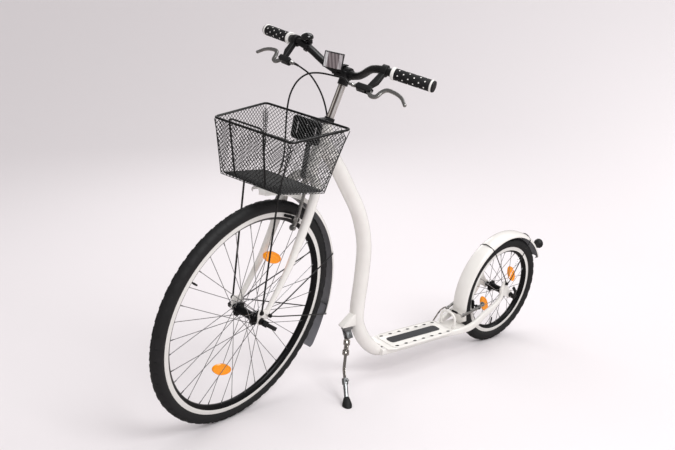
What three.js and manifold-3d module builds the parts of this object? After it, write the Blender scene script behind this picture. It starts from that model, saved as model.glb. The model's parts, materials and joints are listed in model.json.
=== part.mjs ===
// Kick bike: a footboard between a large steered front wheel and a small rear wheel
// Millimetres, +Z up. The bike faces -Y and +X is the rider's left.
// It stands on its two tyres and its side stand, with the front turned a little to the left.

import * as THREE from "three";
import { mergeVertices } from "three/addons/utils/BufferGeometryUtils.js";
import Module from "manifold-3d";

const wasm = await Module();
wasm.setup();

// Fits shared by all pieces
const gap = 0.3;
const overrun = 4;
const weld = 0.0001;

// Overall sizes
const wheelbase = 1264;
const headAngle = 73.4;
const rake = 46.7;
const steerAngle = 11.1;
const leanAngle = 9;

// Wheels
const frontWheel = { radius: 349, tyre: 19, rim: 316, rimDepth: 25, rimHalf: 12.5, segments: 32 };
const rearWheel = { radius: 221, tyre: 21.5, rim: 182, rimDepth: 24, rimHalf: 12.5, segments: 26 };
const rimShape = { wall: 2, bead: 6, noseHalf: 5, track: 14 };
const tyreArcSteps = 6;
const hubShape = { flange: 23, flangeAt: 31, flangeThick: 3.5, barrel: 14, bore: 5.4, end: 9.5 };
const frontLacing = { spokes: 36, cross: 3 };
const rearLacing = { spokes: 28, cross: 2 };
const spoke = { radius: 1.2, head: 3.3, splay: 1.4, rimSplay: 2.5 };
const valve = { radius: 3.2, length: 40 };
const wheelReflector = { half: 41, tall: 17, thick: 9, frontAt: 178, rearAt: 90, clip: 4, clipReach: 3 };
const reflectorAngles = { front: 67, rear: 37 };

// Axles and quick releases
const axle = { radius: 5, nut: 9.5, nutLength: 12, washer: 11, washerThick: 2.5 };
const release = { drum: 8, drumHalf: 9, lever: 52, width: 12, thick: 5, bow: 12, post: 7 };
const releaseAngles = { front: -32, rear: 122 };

// Head, main tube, footboard and rails
const head = { low: 768, high: 892, radius: 18.5, cup: 22, cupLength: 12, bore: 15.3 };
const mainTube = { radius: 24.3, wall: 2.2, joinHeight: 852, mitreAt: 604, mitreAngle: 42, port: 6.5 };
const cableEntry = { outside: [-33, 254, 830], inside: [-12, 276, 788] };
const deck = { top: 116, plate: 3, pan: 2, start: 640, end: 962, half: 56, corner: 26 };
const pan = { start: 612, wideAt: 645, frontHalf: 43, wideEnd: 922, end: 1053 };
const panTail = { start: 957, half: 33, neckHalf: 25, neck: 12, flare: 25 };
const deckHole = { count: 7, first: 661, pitch: 46.3, offset: 40.5, half: 9.5, across: 5 };
const gripStrip = { start: 658, end: 921, half: 18.5, thick: 1.6, corner: 12 };
const rail = { half: 7, flatDepth: 11, bendDepth: 16, tailDepth: 9, board: 33, tail: 59 };
const heelHoop = { at: 980, half: 34, radius: 4.8, height: 58, lean: 5 };
const dropout = { half: 3, radius: 15, slot: 5.3, ear: 9 };
const rearEar = { back: 48, rise: 54 };

// Side stand
const standBracket = { half: 12, reach: 50, low: 222, high: 264, wall: 4 };
const stand = { pivotX: 4, pivotAhead: 15, drop: 33, out: 37.5, ahead: 34.3, foldedOut: 17, foldedDrop: 11 };
const standBend = { at: 123, out: 48, ahead: 31.8 };
const standHead = { half: 10, deep: 17, tall: 6, cheek: 4, cheekHalf: 11, pin: 4, below: 16 };
const standLeg = { knuckle: 8, knuckleHalf: 6, neck: 8, rod: 5.2, bend: 22, collar: 11.4, collarLength: 15 };
const legPlaces = { collar: 22, second: 57, clamp: 155 };
const standTube = { radius: 7.6, clamp: 10.5, clampLength: 18, overlap: 24, screw: 4.2, screwReach: 19 };
const standFoot = { top: 9.5, low: 15.6, length: 29, heel: 8, socket: 10 };

// Fork
const fork = { half: 53, crown: 757, top: 14, tip: 7.5, race: 20, steererTop: 903 };
const steerer = { radius: 14.4, bore: 11.5, depth: 112 };
const frontTip = { half: 2.6, at: 53.4, radius: 12, slot: 5.3, ear: 8 };
const guardEyelet = { back: 32, rise: 11 };
const basketEyelet = { back: -5, rise: 28 };

// Stem, handlebar and controls
const stem = { radius: 11.1, insert: 80, ahead: 14, clampHeight: 1054, postTop: 1028 };
const clamp = { radius: 19, half: 23, collar: 15.5, collarLow: 1018, slot: 1.5, bolt: 3.5, boltReach: 24 };
const bar = { radius: 11.1, middle: 12.7, middleHalf: 33, bend: 152, grip: 183, end: 301 };
const barRise = { ahead: 43, up: 50, sweep: 28, fall: 3 };
const grip = { radius: 16, cap: 4, collar: 18, collarLength: 9, ring: 17.2, ringLength: 7 };
const control = { at: 8, half: 8, ring: 16.5, arm: 6, pivotIn: 12, pivotDown: 72, tilt: 47 };
const controlBody = { reachIn: 34, half: 10, tall: 9, slot: 4.2, pin: 3, nozzle: 5, nozzleLength: 26 };
const lever = { thick: 3.6, wide: 5.5, hub: 8, tipWide: 3.5, reach: 112 };
const bell = { ring: 15, ringHalf: 5, dome: 19, tall: 18, rise: 17.5, stem: 6 };
const bellLever = { length: 28, radius: 2.4, knob: 4.2, hub: 5 };
const lamp = { half: 28, tall: 45, depth: 12, ahead: 62, rise: 34, facet: 4, chamfer: 12, yaw: 25 };
const lampArm = { half: 7, thick: 4 };
const barTilt = 1.7;

// Brakes and cables
const brake = { inset: 25, arm: 116, wireAt: 109, half: 5, wide: 5, topWide: 3.6, hub: 9, pivotAt: 44 };
const brakeBow = { pad: 47, mid: 44, top: 38 };
const pad = { half: 19.5, tall: 4, thick: 10, gap: 1.6, stud: 3.5 };
const brakePin = { radius: 4, head: 6.5, headLength: 3, boss: 7 };
const wireHole = 2.6;
const frontBrakeAngle = 73;
const rearBrake = { pivotAngle: 189.6, armAngle: 197, lift: 25 };
const cable = { radius: 2.5, wire: 0.9, noodle: 3, sleeve: 3.4, boot: 4.2 };

// Basket
const basketRear = { floorHalf: 108.5, floorY: 94, floorZ: 747.5, rimHalf: 154.5, rimY: 116, rimZ: 933.5 };
const basketFront = { floorHalf: 100.5, floorY: -79, floorZ: 761, rimHalf: 138.5, rimY: -101, rimZ: 907 };
const basket = { sheet: 1.6, rim: 3.4, corner: 16, tilt: -2.1, tiltHeight: 840 };
const net = { wide: 48, tall: 58, strand: 4.5 };
const hoop = { half: 60, footHalf: 55, out: 25, rise: 17, radius: 2.6 };
const bracket = { half: 50, tall: 66, top: 925, thick: 9, slot: 4, slotHalf: 18, socket: 22 };
const bracketArm = { half: 8, thick: 4, ringAt: 917, ring: 15.4, ringHalf: 6, legY: 143, foot: 9 };
const basketStay = { radius: 2.8, eye: 7, eyeHalf: 2.8, topX: 64, topY: -34, bolt: 4.5, boltLength: 3 };

// Mudguards, their stays and the tail reflector
const guard = { drop: 11, thick: 1.8, points: 4 };
const frontGuard = { half: 27, radius: 426, ahead: 48, lower: 33, start: 90, end: -9, steps: 15 };
const mudflap = { half: 19, end: -25, thick: 2.2, overlap: 5, steps: 4 };
const rearGuard = { half: 30, radius: 243, start: 29, steps: 16 };
const guardTab = { half: 11, thick: 2.2, angle: 66 };
const guardStay = { radius: 1.9, eye: 6, eyeHalf: 2.2, clear: 0.9, straightShare: 0.12 };
const frontStayAngles = { upper: 24, lower: -7.5 };
const rearStayAngles = { front: 124.5, back: 64 };
const tailReflector = { radius: 20, depth: 18, at: 34, angle: 37, post: 4 };

// Counts of flat faces on round forms
const faces = { spoke: 3, wire: 5, rod: 6, tube: 8, ring: 12, mainTube: 12, mainTubeSteps: 18 };

// Finishes
const finish = (colour, roughness, metalness = 0) =>
  new THREE.MeshStandardMaterial({ color: colour, roughness, metalness });
const whitePaint = finish("#efeeea", 0.25);
const blackPaint = finish("#111214", 0.35);
const blackPlastic = finish("#17181a", 0.5);
const rubber = finish("#1d1e20", 0.85);
const chrome = finish("#c9c8c6", 0.15, 1);
const alloy = finish("#b9bbbd", 0.35, 1);
const zinc = finish("#a5a7aa", 0.45, 0.9);
const amber = finish("#f59a12", 0.25);
const clearLens = finish("#c9cbd0", 0.15, 0.4);
const darkLens = finish("#15120f", 0.4);
const grit = finish("#3b3a3c", 0.9);

// Vectors, ranges and frames
const V = (x, y, z) => new THREE.Vector3(x, y, z);
const flat = (x, y) => new THREE.Vector2(x, y);
const rad = THREE.MathUtils.degToRad;
const deg = THREE.MathUtils.radToDeg;
const unitX = V(1, 0, 0);
const unitZ = V(0, 0, 1);
const rightOf = (point) => V(-point.x, point.y, point.z);
const mix = (a, b, share) => a.clone().lerp(b, share);
const away = (point, direction, distance) => point.clone().addScaledVector(direction, distance);
const range = (count) => Array.from({ length: count }, (_, i) => i);

// A frame whose X axis points one way and whose Z axis stays near a second direction
function aim(origin, xDirection, zHint) {
  const x = xDirection.clone().normalize();
  const y = zHint.clone().cross(x).normalize();
  const z = x.clone().cross(y);
  return new THREE.Matrix4().makeBasis(x, y, z).setPosition(origin);
}
const sidePlane = new THREE.Matrix4().makeBasis(V(0, 1, 0), V(0, 0, 1), unitX);

// Solids from three.js geometries
function solidOf(geometry, matrix) {
  const bare = new THREE.BufferGeometry();
  bare.setAttribute("position", geometry.getAttribute("position").clone());
  bare.setIndex(geometry.getIndex());
  if (matrix) bare.applyMatrix4(matrix);
  const merged = mergeVertices(bare, weld);
  const index = merged.getIndex().array;
  const corners = [];
  for (let i = 0; i < index.length; i += 3) {
    const [a, b, c] = [index[i], index[i + 1], index[i + 2]];
    if (a !== b && b !== c && c !== a) corners.push(a, b, c);
  }
  return closedSolid(merged.getAttribute("position").array, corners);
}

function closedSolid(positions, corners) {
  const build = (list) => new wasm.Manifold(new wasm.Mesh({
    numProp: 3,
    vertProperties: new Float32Array(positions),
    triVerts: new Uint32Array(list),
  }));
  const solid = build(corners);
  if (solid.volume() > 0) return solid;
  const flipped = [];
  for (let i = 0; i < corners.length; i += 3) flipped.push(corners[i], corners[i + 2], corners[i + 1]);
  return build(flipped);
}

const join = (...solids) => solids.flat().reduce((sum, next) => sum.add(next));
const cut = (solid, ...cutters) => cutters.flat().reduce((left, next) => left.subtract(next), solid);
const mirrored = (solid) => solid.mirror([1, 0, 0]);

// Outlines of sections
const ellipse = (sides, across, up = across) => range(sides).map((i) => {
  const angle = (2 * Math.PI * (i + 0.5)) / sides;
  return flat(across * Math.cos(angle), up * Math.sin(angle));
});

const chamferShare = 0.4;
function chamfered(half, tall) {
  const side = tall - Math.min(half, tall) * chamferShare;
  const top = half - Math.min(half, tall) * chamferShare;
  return [
    flat(half, side), flat(top, tall), flat(-top, tall), flat(-half, side),
    flat(-half, -side), flat(-top, -tall), flat(top, -tall), flat(half, -side),
  ];
}

function roundedRectangle(half, start, end, corner, steps = 4) {
  const centres = [[half - corner, end - corner], [corner - half, end - corner],
    [corner - half, start + corner], [half - corner, start + corner]];
  return centres.flatMap(([x, y], quarter) => range(steps + 1).map((i) => {
    const angle = (Math.PI / 2) * (quarter + i / steps);
    return flat(x + corner * Math.cos(angle), y + corner * Math.sin(angle));
  }));
}

// A tube of constant section along a smooth path
function tube(points, section, steps) {
  const extrudePath = new THREE.CatmullRomCurve3(points, false, "centripetal");
  const shape = new THREE.Shape(section);
  return solidOf(new THREE.ExtrudeGeometry(shape, { steps, extrudePath, bevelEnabled: false }));
}

// A straight rod between two points, tapered when a second radius is given
function rod(from, to, radius, sides = faces.rod, endRadius = radius) {
  const geometry = new THREE.CylinderGeometry(endRadius, radius, from.distanceTo(to), sides);
  const turn = new THREE.Quaternion().setFromUnitVectors(V(0, 1, 0), to.clone().sub(from).normalize());
  return solidOf(geometry, new THREE.Matrix4().compose(mix(from, to, 0.5), turn, V(1, 1, 1)));
}

// A box centred on the origin of a frame, given by half sizes
function block(matrix, halfX, halfY, halfZ) {
  return solidOf(new THREE.BoxGeometry(2 * halfX, 2 * halfY, 2 * halfZ), matrix);
}
const at = (x, y, z) => new THREE.Matrix4().setPosition(x, y, z);

// A flat plate: an outline in its own plane, thickened to both sides
function plate(outline, half, matrix) {
  const shape = new THREE.Shape(outline);
  const geometry = new THREE.ExtrudeGeometry(shape, { depth: 2 * half, bevelEnabled: false });
  geometry.translate(0, 0, -half);
  return solidOf(geometry, matrix);
}

// A turned form about the X axis of a frame, from [radius, place] pairs
function turned(profile, segments, matrix) {
  const geometry = new THREE.LatheGeometry(profile.map(([r, x]) => flat(r, x)), segments);
  geometry.rotateZ(-Math.PI / 2);
  return solidOf(geometry, matrix);
}

// A body through rings of points, ended by flat faces or closed on itself
function loft(rings, closed = false) {
  const count = rings[0].length;
  const positions = rings.flat().flatMap((p) => [p.x, p.y, p.z]);
  const spans = closed ? rings.length : rings.length - 1;
  const corners = [];
  for (let ring = 0; ring < spans; ring += 1) {
    const here = ring * count;
    const there = ((ring + 1) % rings.length) * count;
    for (let i = 0; i < count; i += 1) {
      const next = (i + 1) % count;
      corners.push(here + i, here + next, there + next, here + i, there + next, there + i);
    }
  }
  if (!closed) {
    const last = (rings.length - 1) * count;
    for (const [a, b, c] of endFaces(rings[0])) corners.push(c, b, a);
    for (const [a, b, c] of endFaces(rings[rings.length - 1])) corners.push(last + a, last + b, last + c);
  }
  return closedSolid(positions, corners);
}

// Triangles over the flat end of a loft, wound as its outline is
function endFaces(ring) {
  const normal = V(0, 0, 0);
  ring.forEach((p, i) => normal.add(p.clone().cross(ring[(i + 1) % ring.length])));
  const frame = aim(ring[0], ring[1].clone().sub(ring[0]), normal).invert();
  const outline = ring.map((p) => p.clone().applyMatrix4(frame)).map((p) => flat(p.x, p.y));
  return THREE.ShapeUtils.triangulateShape(outline, []);
}

// Rings of a section that changes along a path, kept level by a side direction
function ringsAlong(points, steps, sectionAt, side = unitX) {
  const path = new THREE.CatmullRomCurve3(points, false, "centripetal");
  return range(steps + 1).map((i) => {
    const share = i / steps;
    return ringAt(path.getPointAt(share), path.getTangentAt(share), side, sectionAt(share));
  });
}

function ringAt(centre, tangent, side, section) {
  const across = away(side, tangent, -side.dot(tangent)).normalize();
  const up = across.clone().cross(tangent).normalize();
  return section.map((p) => away(away(centre, across, p.x), up, p.y));
}

// Places in the side plane
const frontCentre = V(0, 0, frontWheel.radius);
const rearCentre = V(0, wheelbase, rearWheel.radius);
const radial = (degrees) => V(0, Math.cos(rad(degrees)), Math.sin(rad(degrees)));
const polar = (centre, radius, degrees, x = 0) => away(V(x, centre.y, centre.z), radial(degrees), radius);

// The steering axis runs through the head tube, and the front axle lies ahead of it by the rake
const axis = radial(headAngle);
const aheadOfAxis = V(0, -axis.z, axis.y);
const axisFoot = away(frontCentre, aheadOfAxis, -rake);
const onAxis = (height) => away(axisFoot, axis, (height - axisFoot.z) / axis.z);

// Wheels, built about the X axis through their own centres
function tyreSolid(wheel) {
  const centre = wheel.radius - wheel.tyre;
  const seat = wheel.rim - rimShape.bead + gap;
  const bead = wheel.rimHalf - rimShape.wall - gap;
  const lip = wheel.rim + 2 * gap;
  const start = Math.asin((centre - lip) / wheel.tyre);
  const arc = range(tyreArcSteps + 1).map((i) => {
    const angle = -start + ((Math.PI + 2 * start) * i) / tyreArcSteps;
    return [centre + wheel.tyre * Math.sin(angle), wheel.tyre * Math.cos(angle)];
  });
  return turned([[seat, -bead], [seat, bead], [lip, bead], ...arc, [lip, -bead], [seat, -bead]], wheel.segments);
}

function rimSolid(wheel, valveAngle) {
  const { rim: outer, rimHalf: half } = wheel;
  const nose = outer - wheel.rimDepth;
  const track = outer - rimShape.track;
  const seat = outer - rimShape.bead;
  const inside = half - rimShape.wall;
  const body = turned([
    [outer, half], [track, half], [nose, rimShape.noseHalf], [nose, -rimShape.noseHalf], [track, -half],
    [outer, -half], [outer, -inside], [seat, -inside], [seat, inside], [outer, inside], [outer, half],
  ], wheel.segments);
  const origin = V(0, 0, 0);
  const valveStem = rod(polar(origin, track, valveAngle), polar(origin, track - valve.length, valveAngle),
    valve.radius);
  return join(body, valveStem);
}

function spokeLines(wheel, lacing) {
  const reach = (wheel.rim - wheel.rimDepth) * Math.cos(Math.PI / wheel.segments) - 3 * gap;
  const inset = hubShape.flange - spoke.head;
  const flangeMiddle = hubShape.flangeAt + hubShape.flangeThick / 2;
  const turn = (4 * Math.PI * lacing.cross) / lacing.spokes;
  return range(lacing.spokes).map((i) => {
    const side = i % 2 ? -1 : 1;
    const trailing = Math.floor(i / 2) % 2 ? -1 : 1;
    const rimAngle = (2 * Math.PI * i) / lacing.spokes;
    const hubAngle = rimAngle + trailing * turn;
    const from = V(side * flangeMiddle + trailing * spoke.splay, inset * Math.cos(hubAngle),
      inset * Math.sin(hubAngle));
    const to = V(side * spoke.rimSplay, reach * Math.cos(rimAngle), reach * Math.sin(rimAngle));
    return { side, from, to };
  });
}

const spokeSolids = (wheel, lacing, growth = 0) => spokeLines(wheel, lacing).map(({ from, to }) => {
  const line = to.clone().sub(from).normalize();
  return loft([from, to].map((end) => ringAt(end, line, unitX, ellipse(faces.spoke, spoke.radius + growth))));
});

function hubSolid(wheel, lacing, half) {
  const h = hubShape;
  const far = h.flangeAt + h.flangeThick;
  const near = h.flangeAt - h.flangeThick;
  const body = turned([
    [h.bore, -half], [h.end, -half], [h.end, -far], [h.flange, -far], [h.flange, -h.flangeAt],
    [h.barrel, -near], [h.barrel, near], [h.flange, h.flangeAt], [h.flange, far], [h.end, far],
    [h.end, half], [h.bore, half], [h.bore, -half],
  ], faces.ring);
  return join(body, spokeSolids(wheel, lacing));
}

// A spoke reflector lies between the two rows of spokes and is clipped to those of the left row
function spokeReflector(wheel, lacing, distance, degrees) {
  const outward = radial(degrees);
  const tangent = outward.clone().cross(unitX);
  const matrix = new THREE.Matrix4().makeBasis(tangent, outward, unitX.clone().negate());
  matrix.setPosition(polar(V(0, 0, 0), distance, degrees));
  const lens = plate(ellipse(faces.ring, wheelReflector.half, wheelReflector.tall), wheelReflector.thick / 2, matrix);
  const passing = spokeLines(wheel, lacing).filter(({ side }) => side > 0).map(({ from, to }) => {
    const crossing = (distance - from.dot(outward)) / (to.dot(outward) - from.dot(outward));
    return { crossing, place: mix(from, to, crossing) };
  });
  const held = passing.filter(({ crossing, place }) => crossing > 0 && crossing < 1
    && Math.abs(place.dot(tangent)) < wheelReflector.half - 2 * wheelReflector.clip).map(({ place }) => place);
  const clips = held.map((p) => {
    const reach = (p.x + wheelReflector.clipReach) / 2;
    return block(aim(V(reach, p.y, p.z), unitX, outward), reach, wheelReflector.clip, wheelReflector.clip);
  });
  return cut(join(lens, clips), spokeSolids(wheel, lacing, gap));
}

// Axle with a nut on the right, and on the left the post that its quick release turns about
function axleSolid(centre, outside) {
  const along = (x) => V(x, centre.y, centre.z);
  const face = outside + gap;
  const end = face + axle.washerThick;
  return join(
    rod(along(-end), along(end), axle.radius, faces.tube),
    rod(along(face), along(end), axle.washer, faces.tube),
    rod(along(-end), along(-face), axle.washer, faces.tube),
    rod(along(-end - axle.nutLength), along(-end), axle.nut, faces.wire),
    rod(along(end), along(end + release.post), axle.washer - axle.washerThick, faces.tube),
  );
}

function releasePivot(centre, outside) {
  const x = outside + 2 * gap + axle.washerThick + release.post + release.drum;
  return V(x, centre.y, centre.z);
}

// The quick release is a drum across the axle's end with a bowed handle
function releaseSolid(pivot, degrees) {
  const out = radial(degrees);
  const across = out.clone().cross(unitX);
  const drum = rod(away(pivot, across, -release.drumHalf), away(pivot, across, release.drumHalf), release.drum,
    faces.tube);
  const reachShares = [0, 0.35, 0.7, 1];
  const bowShares = [0, 0.7, 1, 0.5];
  const points = reachShares.map((share, i) =>
    away(away(pivot, out, share * release.lever), unitX, bowShares[i] * release.bow));
  const section = chamfered(release.width / 2, release.thick / 2);
  return join(drum, loft(ringsAlong(points, 6, () => section, across)));
}

// Frame
function headTubeSolid() {
  const low = onAxis(head.low);
  const high = onAxis(head.high);
  return cut(
    join(
      rod(low, high, head.radius, faces.ring),
      rod(low, away(low, axis, head.cupLength), head.cup, faces.ring),
      rod(away(high, axis, -head.cupLength), high, head.cup, faces.ring),
    ),
    rod(away(low, axis, -overrun), away(high, axis, overrun), head.bore, faces.ring),
  );
}

// The main tube bows down from the head and turns under the footboard
const tubeShares = [
  [0.2096, 0.8834], [0.2666, 0.7859], [0.3204, 0.6839], [0.3552, 0.5673], [0.3663, 0.4406],
  [0.3703, 0.3128], [0.3790, 0.25], [0.4019, 0.1962], [0.4328, 0.1491], [0.4699, 0.1143], [0.5142, 0.1029],
];
const tubePlaces = tubeShares.map(([along, up]) => V(0, along * wheelbase, up * head.high));
const tubePath = (extra) => [
  onAxis(mainTube.joinHeight), ...tubePlaces, ...(extra ? [away(tubePlaces.at(-1), V(0, 1, 0), extra)] : []),
];
const tubeCurve = new THREE.CatmullRomCurve3(tubePath(0), false, "centripetal");
const tubeAt = (height) => tubeCurve.getSpacedPoints(200).reduce((best, p) =>
  (Math.abs(p.z - height) < Math.abs(best.z - height) ? p : best));
const tubeFront = (height) => tubeAt(height).y - mainTube.radius;
const tubeSection = (inset, sides) => ellipse(sides, mainTube.radius - inset);

function mainTubeSolid() {
  const outer = tube(tubePath(0), tubeSection(0, faces.mainTube), faces.mainTubeSteps);
  const bore = tube(tubePath(overrun), tubeSection(mainTube.wall, faces.tube), faces.mainTubeSteps);
  const [low, high] = [onAxis(head.low), onAxis(head.high)];
  const headHole = rod(low, high, head.radius + gap, faces.ring);
  const closedEnd = rod(low, high, mainTube.radius + mainTube.wall, faces.ring);
  const slant = radial(90 - mainTube.mitreAngle);
  const behind = away(V(0, mainTube.mitreAt, deckUnder), slant, 2 * mainTube.radius);
  const mitre = block(aim(behind, unitX, radial(180 - mainTube.mitreAngle)), mainTube.radius + overrun,
    2 * mainTube.radius, 4 * mainTube.radius);
  const port = rod(V(...cableEntry.outside), V(...cableEntry.inside), mainTube.port);
  const shell = cut(outer, cut(bore, closedEnd), headHole, mitre, port);
  return join(shell, standBracketSolid(bore));
}

// A folded bracket on the tube's front carries the side stand
function standBracketSolid(bore) {
  const s = standBracket;
  const face = tubeFront(s.low);
  const front = face - s.reach;
  const tall = s.high - s.low;
  const outlineShares = [[1.3, 1], [0.96, 1], [0.86, 0.98], [0.1, 0.46], [0, 0.13], [0.12, 0.02], [0.9, 0], [1.3, 0.1]];
  const windowShares = [[0.86, 0.8], [0.78, 0.8], [0.34, 0.42], [0.24, 0.2], [0.86, 0.2]];
  const place = ([along, up]) => flat(front + along * s.reach, s.low + up * tall);
  const body = plate(outlineShares.map(place), s.half, sidePlane);
  const pocketHalf = (s.half - s.wall + overrun) / 2;
  const pocket = (side) => plate(windowShares.map(place), pocketHalf,
    sidePlane.clone().setPosition(side * (s.wall + pocketHalf), 0, 0));
  return cut(body, pocket(1), pocket(-1), bore);
}

// Side rails lie along the tube's flanks and under the board, spread round the wheel and rise to its axle
const panTop = deck.top - deck.plate;
const deckUnder = panTop - deck.pan - gap;
const railLevel = deckUnder - rail.flatDepth;

function railPoints() {
  const flank = mainTube.radius * Math.cos(Math.PI / faces.mainTube) + rail.half + gap;
  const level = (x, y) => V(x, y, railLevel);
  const spreadShares = [[0.14, 0.6, 0.08], [0.29, 0.92, 0.17], [0.43, 1, 0.35], [0.55, 1, 0.57],
    [0.675, 1, 0.74], [0.78, 1, 0.95], [0.82, 1, 1.19], [0.8, 1, 1.47]];
  const rise = spreadShares.map(([along, out, up]) => V(
    THREE.MathUtils.lerp(rail.board, rail.tail, out),
    THREE.MathUtils.lerp(panTail.start, rearCentre.y, along),
    THREE.MathUtils.lerp(railLevel, rearCentre.z - dropout.radius, up),
  ));
  return [level(flank, tubePlaces.at(-2).y), level(flank, pan.start), level(rail.board, pan.wideAt),
    level(rail.board, panTail.start), ...rise];
}

function leftRailSolid() {
  const points = railPoints();
  const depthShares = [0, 0, 0, 0, 0, 0, 0, 0.03, 0.7, 1, 0.45, 0.2, 0];
  const sectionAt = (share) => {
    const place = share * (depthShares.length - 1);
    const before = Math.min(depthShares.length - 2, Math.floor(place));
    const swell = THREE.MathUtils.lerp(depthShares[before], depthShares[before + 1], place - before);
    const plain = THREE.MathUtils.lerp(rail.flatDepth, rail.tailDepth, THREE.MathUtils.smoothstep(share, 0.6, 1));
    return chamfered(rail.half, THREE.MathUtils.lerp(plain, rail.bendDepth, swell));
  };
  const body = loft(ringsAlong(points, 14, sectionAt));
  return join(body, rearDropoutSolid(), rearBossSolid());
}

// The dropout hangs the axle behind the rail's end and carries an ear for the stays
function rearDropoutSolid() {
  const outlineShares = [
    [-4.4, 0.6], [-4.7, 2.4], [-3.9, 4.1], [-3.2, 4.35], [-2.5, 4.1], [-2.1, 2.9], [-0.5, 1.2], [0.3, 0.95],
    [0.85, 0.5], [1, -0.1], [0.8, -0.65], [0.4, -1.05], [-0.4, -1.05], [-0.9, -0.6],
  ];
  const place = ([along, up]) => flat(rearCentre.y + along * dropout.radius, rearCentre.z + up * dropout.radius);
  const body = plate(outlineShares.map(place), dropout.half, sidePlane.clone().setPosition(rail.tail, 0, 0));
  const slotEnd = away(V(rail.tail, rearCentre.y, rearCentre.z), radial(255), dropout.radius);
  const slotStart = V(rail.tail, rearCentre.y, rearCentre.z);
  const slot = block(aim(slotEnd, unitX, radial(255)), dropout.half + overrun, dropout.slot, dropout.radius);
  const seat = rod(away(slotStart, unitX, -dropout.half - overrun), away(slotStart, unitX,
    dropout.half + overrun), dropout.slot, faces.tube);
  return cut(body, slot, seat);
}

// Brake pivots: the arms swing about pins that stand off the fork and the rails
const trackMiddle = (wheel) => wheel.rim - rimShape.track / 2;
const frontPivot = polar(frontCentre, trackMiddle(frontWheel) - brake.inset, frontBrakeAngle, brake.pivotAt);
const rearPivot = polar(rearCentre, trackMiddle(rearWheel) - brake.inset, rearBrake.pivotAngle, brake.pivotAt);
const frontPinWay = radial(frontBrakeAngle + 90);
const rearPinWay = radial(rearBrake.armAngle - 90);

function brakePinSolid(pivot, way) {
  const face = brake.half + gap;
  return join(
    rod(away(pivot, way, -face - brakePin.headLength), away(pivot, way, face + gap), brakePin.radius),
    rod(away(pivot, way, face), away(pivot, way, face + brakePin.headLength), brakePin.head),
  );
}

function rearBossSolid() {
  const base = away(rearPivot, rearPinWay, -rearBrake.lift);
  const shoulder = away(rearPivot, rearPinWay, -brake.half - gap);
  const lug = rod(away(base, unitX, -brakePin.boss), V(rail.tail, base.y, base.z), brakePin.boss);
  return join(rod(base, shoulder, brakePin.boss), lug, brakePinSolid(rearPivot, rearPinWay));
}

// The footboard is a pan on the rails under a raised plate, with two rows of long holes
function deckSolid() {
  const panOutline = [
    flat(pan.frontHalf, pan.start), flat(deck.half, pan.wideAt), flat(deck.half, pan.wideEnd),
    flat(panTail.neckHalf, panTail.start - panTail.neck), flat(panTail.neckHalf, panTail.start),
    flat(panTail.half, panTail.start + panTail.flare), flat(panTail.half, pan.end),
  ];
  panOutline.push(...panOutline.map((p) => flat(-p.x, p.y)).reverse());
  const panBody = plate(panOutline, deck.pan / 2, at(0, 0, panTop - deck.pan / 2));
  const raised = plate(roundedRectangle(deck.half, deck.start, deck.end, deck.corner),
    (deck.plate + gap) / 2, at(0, 0, deck.top - (deck.plate + gap) / 2));
  const holes = range(deckHole.count).flatMap((i) => [1, -1].map((side) => {
    const place = at(side * deckHole.offset, deckHole.first + i * deckHole.pitch, deck.top - deck.plate);
    return plate(ellipse(faces.tube, deckHole.across, deckHole.half), deck.plate + overrun, place);
  }));
  return cut(join(panBody, raised), holes);
}

function gripStripSolid() {
  const outline = roundedRectangle(gripStrip.half, gripStrip.start, gripStrip.end, gripStrip.corner);
  return plate(outline, gripStrip.thick / 2, at(0, 0, deck.top + gap + gripStrip.thick / 2));
}

function heelHoopSolid() {
  const shares = [[-0.82, 0.02], [-1, 0.4], [-0.88, 0.76], [-0.45, 0.97], [0, 1], [0.45, 0.97], [0.88, 0.76],
    [1, 0.4], [0.82, 0.02]];
  const points = shares.map(([x, up]) => V(x * heelHoop.half, heelHoop.at - up * heelHoop.lean,
    panTop + gap + up * heelHoop.height));
  return tube(points, ellipse(faces.rod, heelHoop.radius), 16);
}

// Mudguards: a crowned shell swept about a centre
function guardSection(half) {
  const crown = (x) => -guard.drop * (x / half) ** 2;
  const steps = range(guard.points + 1).map((i) => half * (1 - (2 * i) / guard.points));
  return [...steps.map((x) => [x, crown(x) + guard.thick]), ...steps.reverse().map((x) => [x, crown(x)])];
}

function guardShell(centre, radius, start, end, half, steps, halfShareAt) {
  const rings = range(steps + 1).map((i) => {
    const angle = start + ((end - start) * i) / steps;
    return guardSection(half).map(([x, rise]) => {
      const widthShare = halfShareAt(i / steps);
      return polar(centre, radius + rise, angle, x * widthShare);
    });
  });
  return loft(rings);
}

const frontGuardCentre = V(0, -frontGuard.ahead, frontWheel.radius - frontGuard.lower);
const tipShares = [0.5, 0.84, 1];
const taperedEnd = (share, steps) => tipShares[Math.min(tipShares.length - 1, Math.round(share * steps))];

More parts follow.
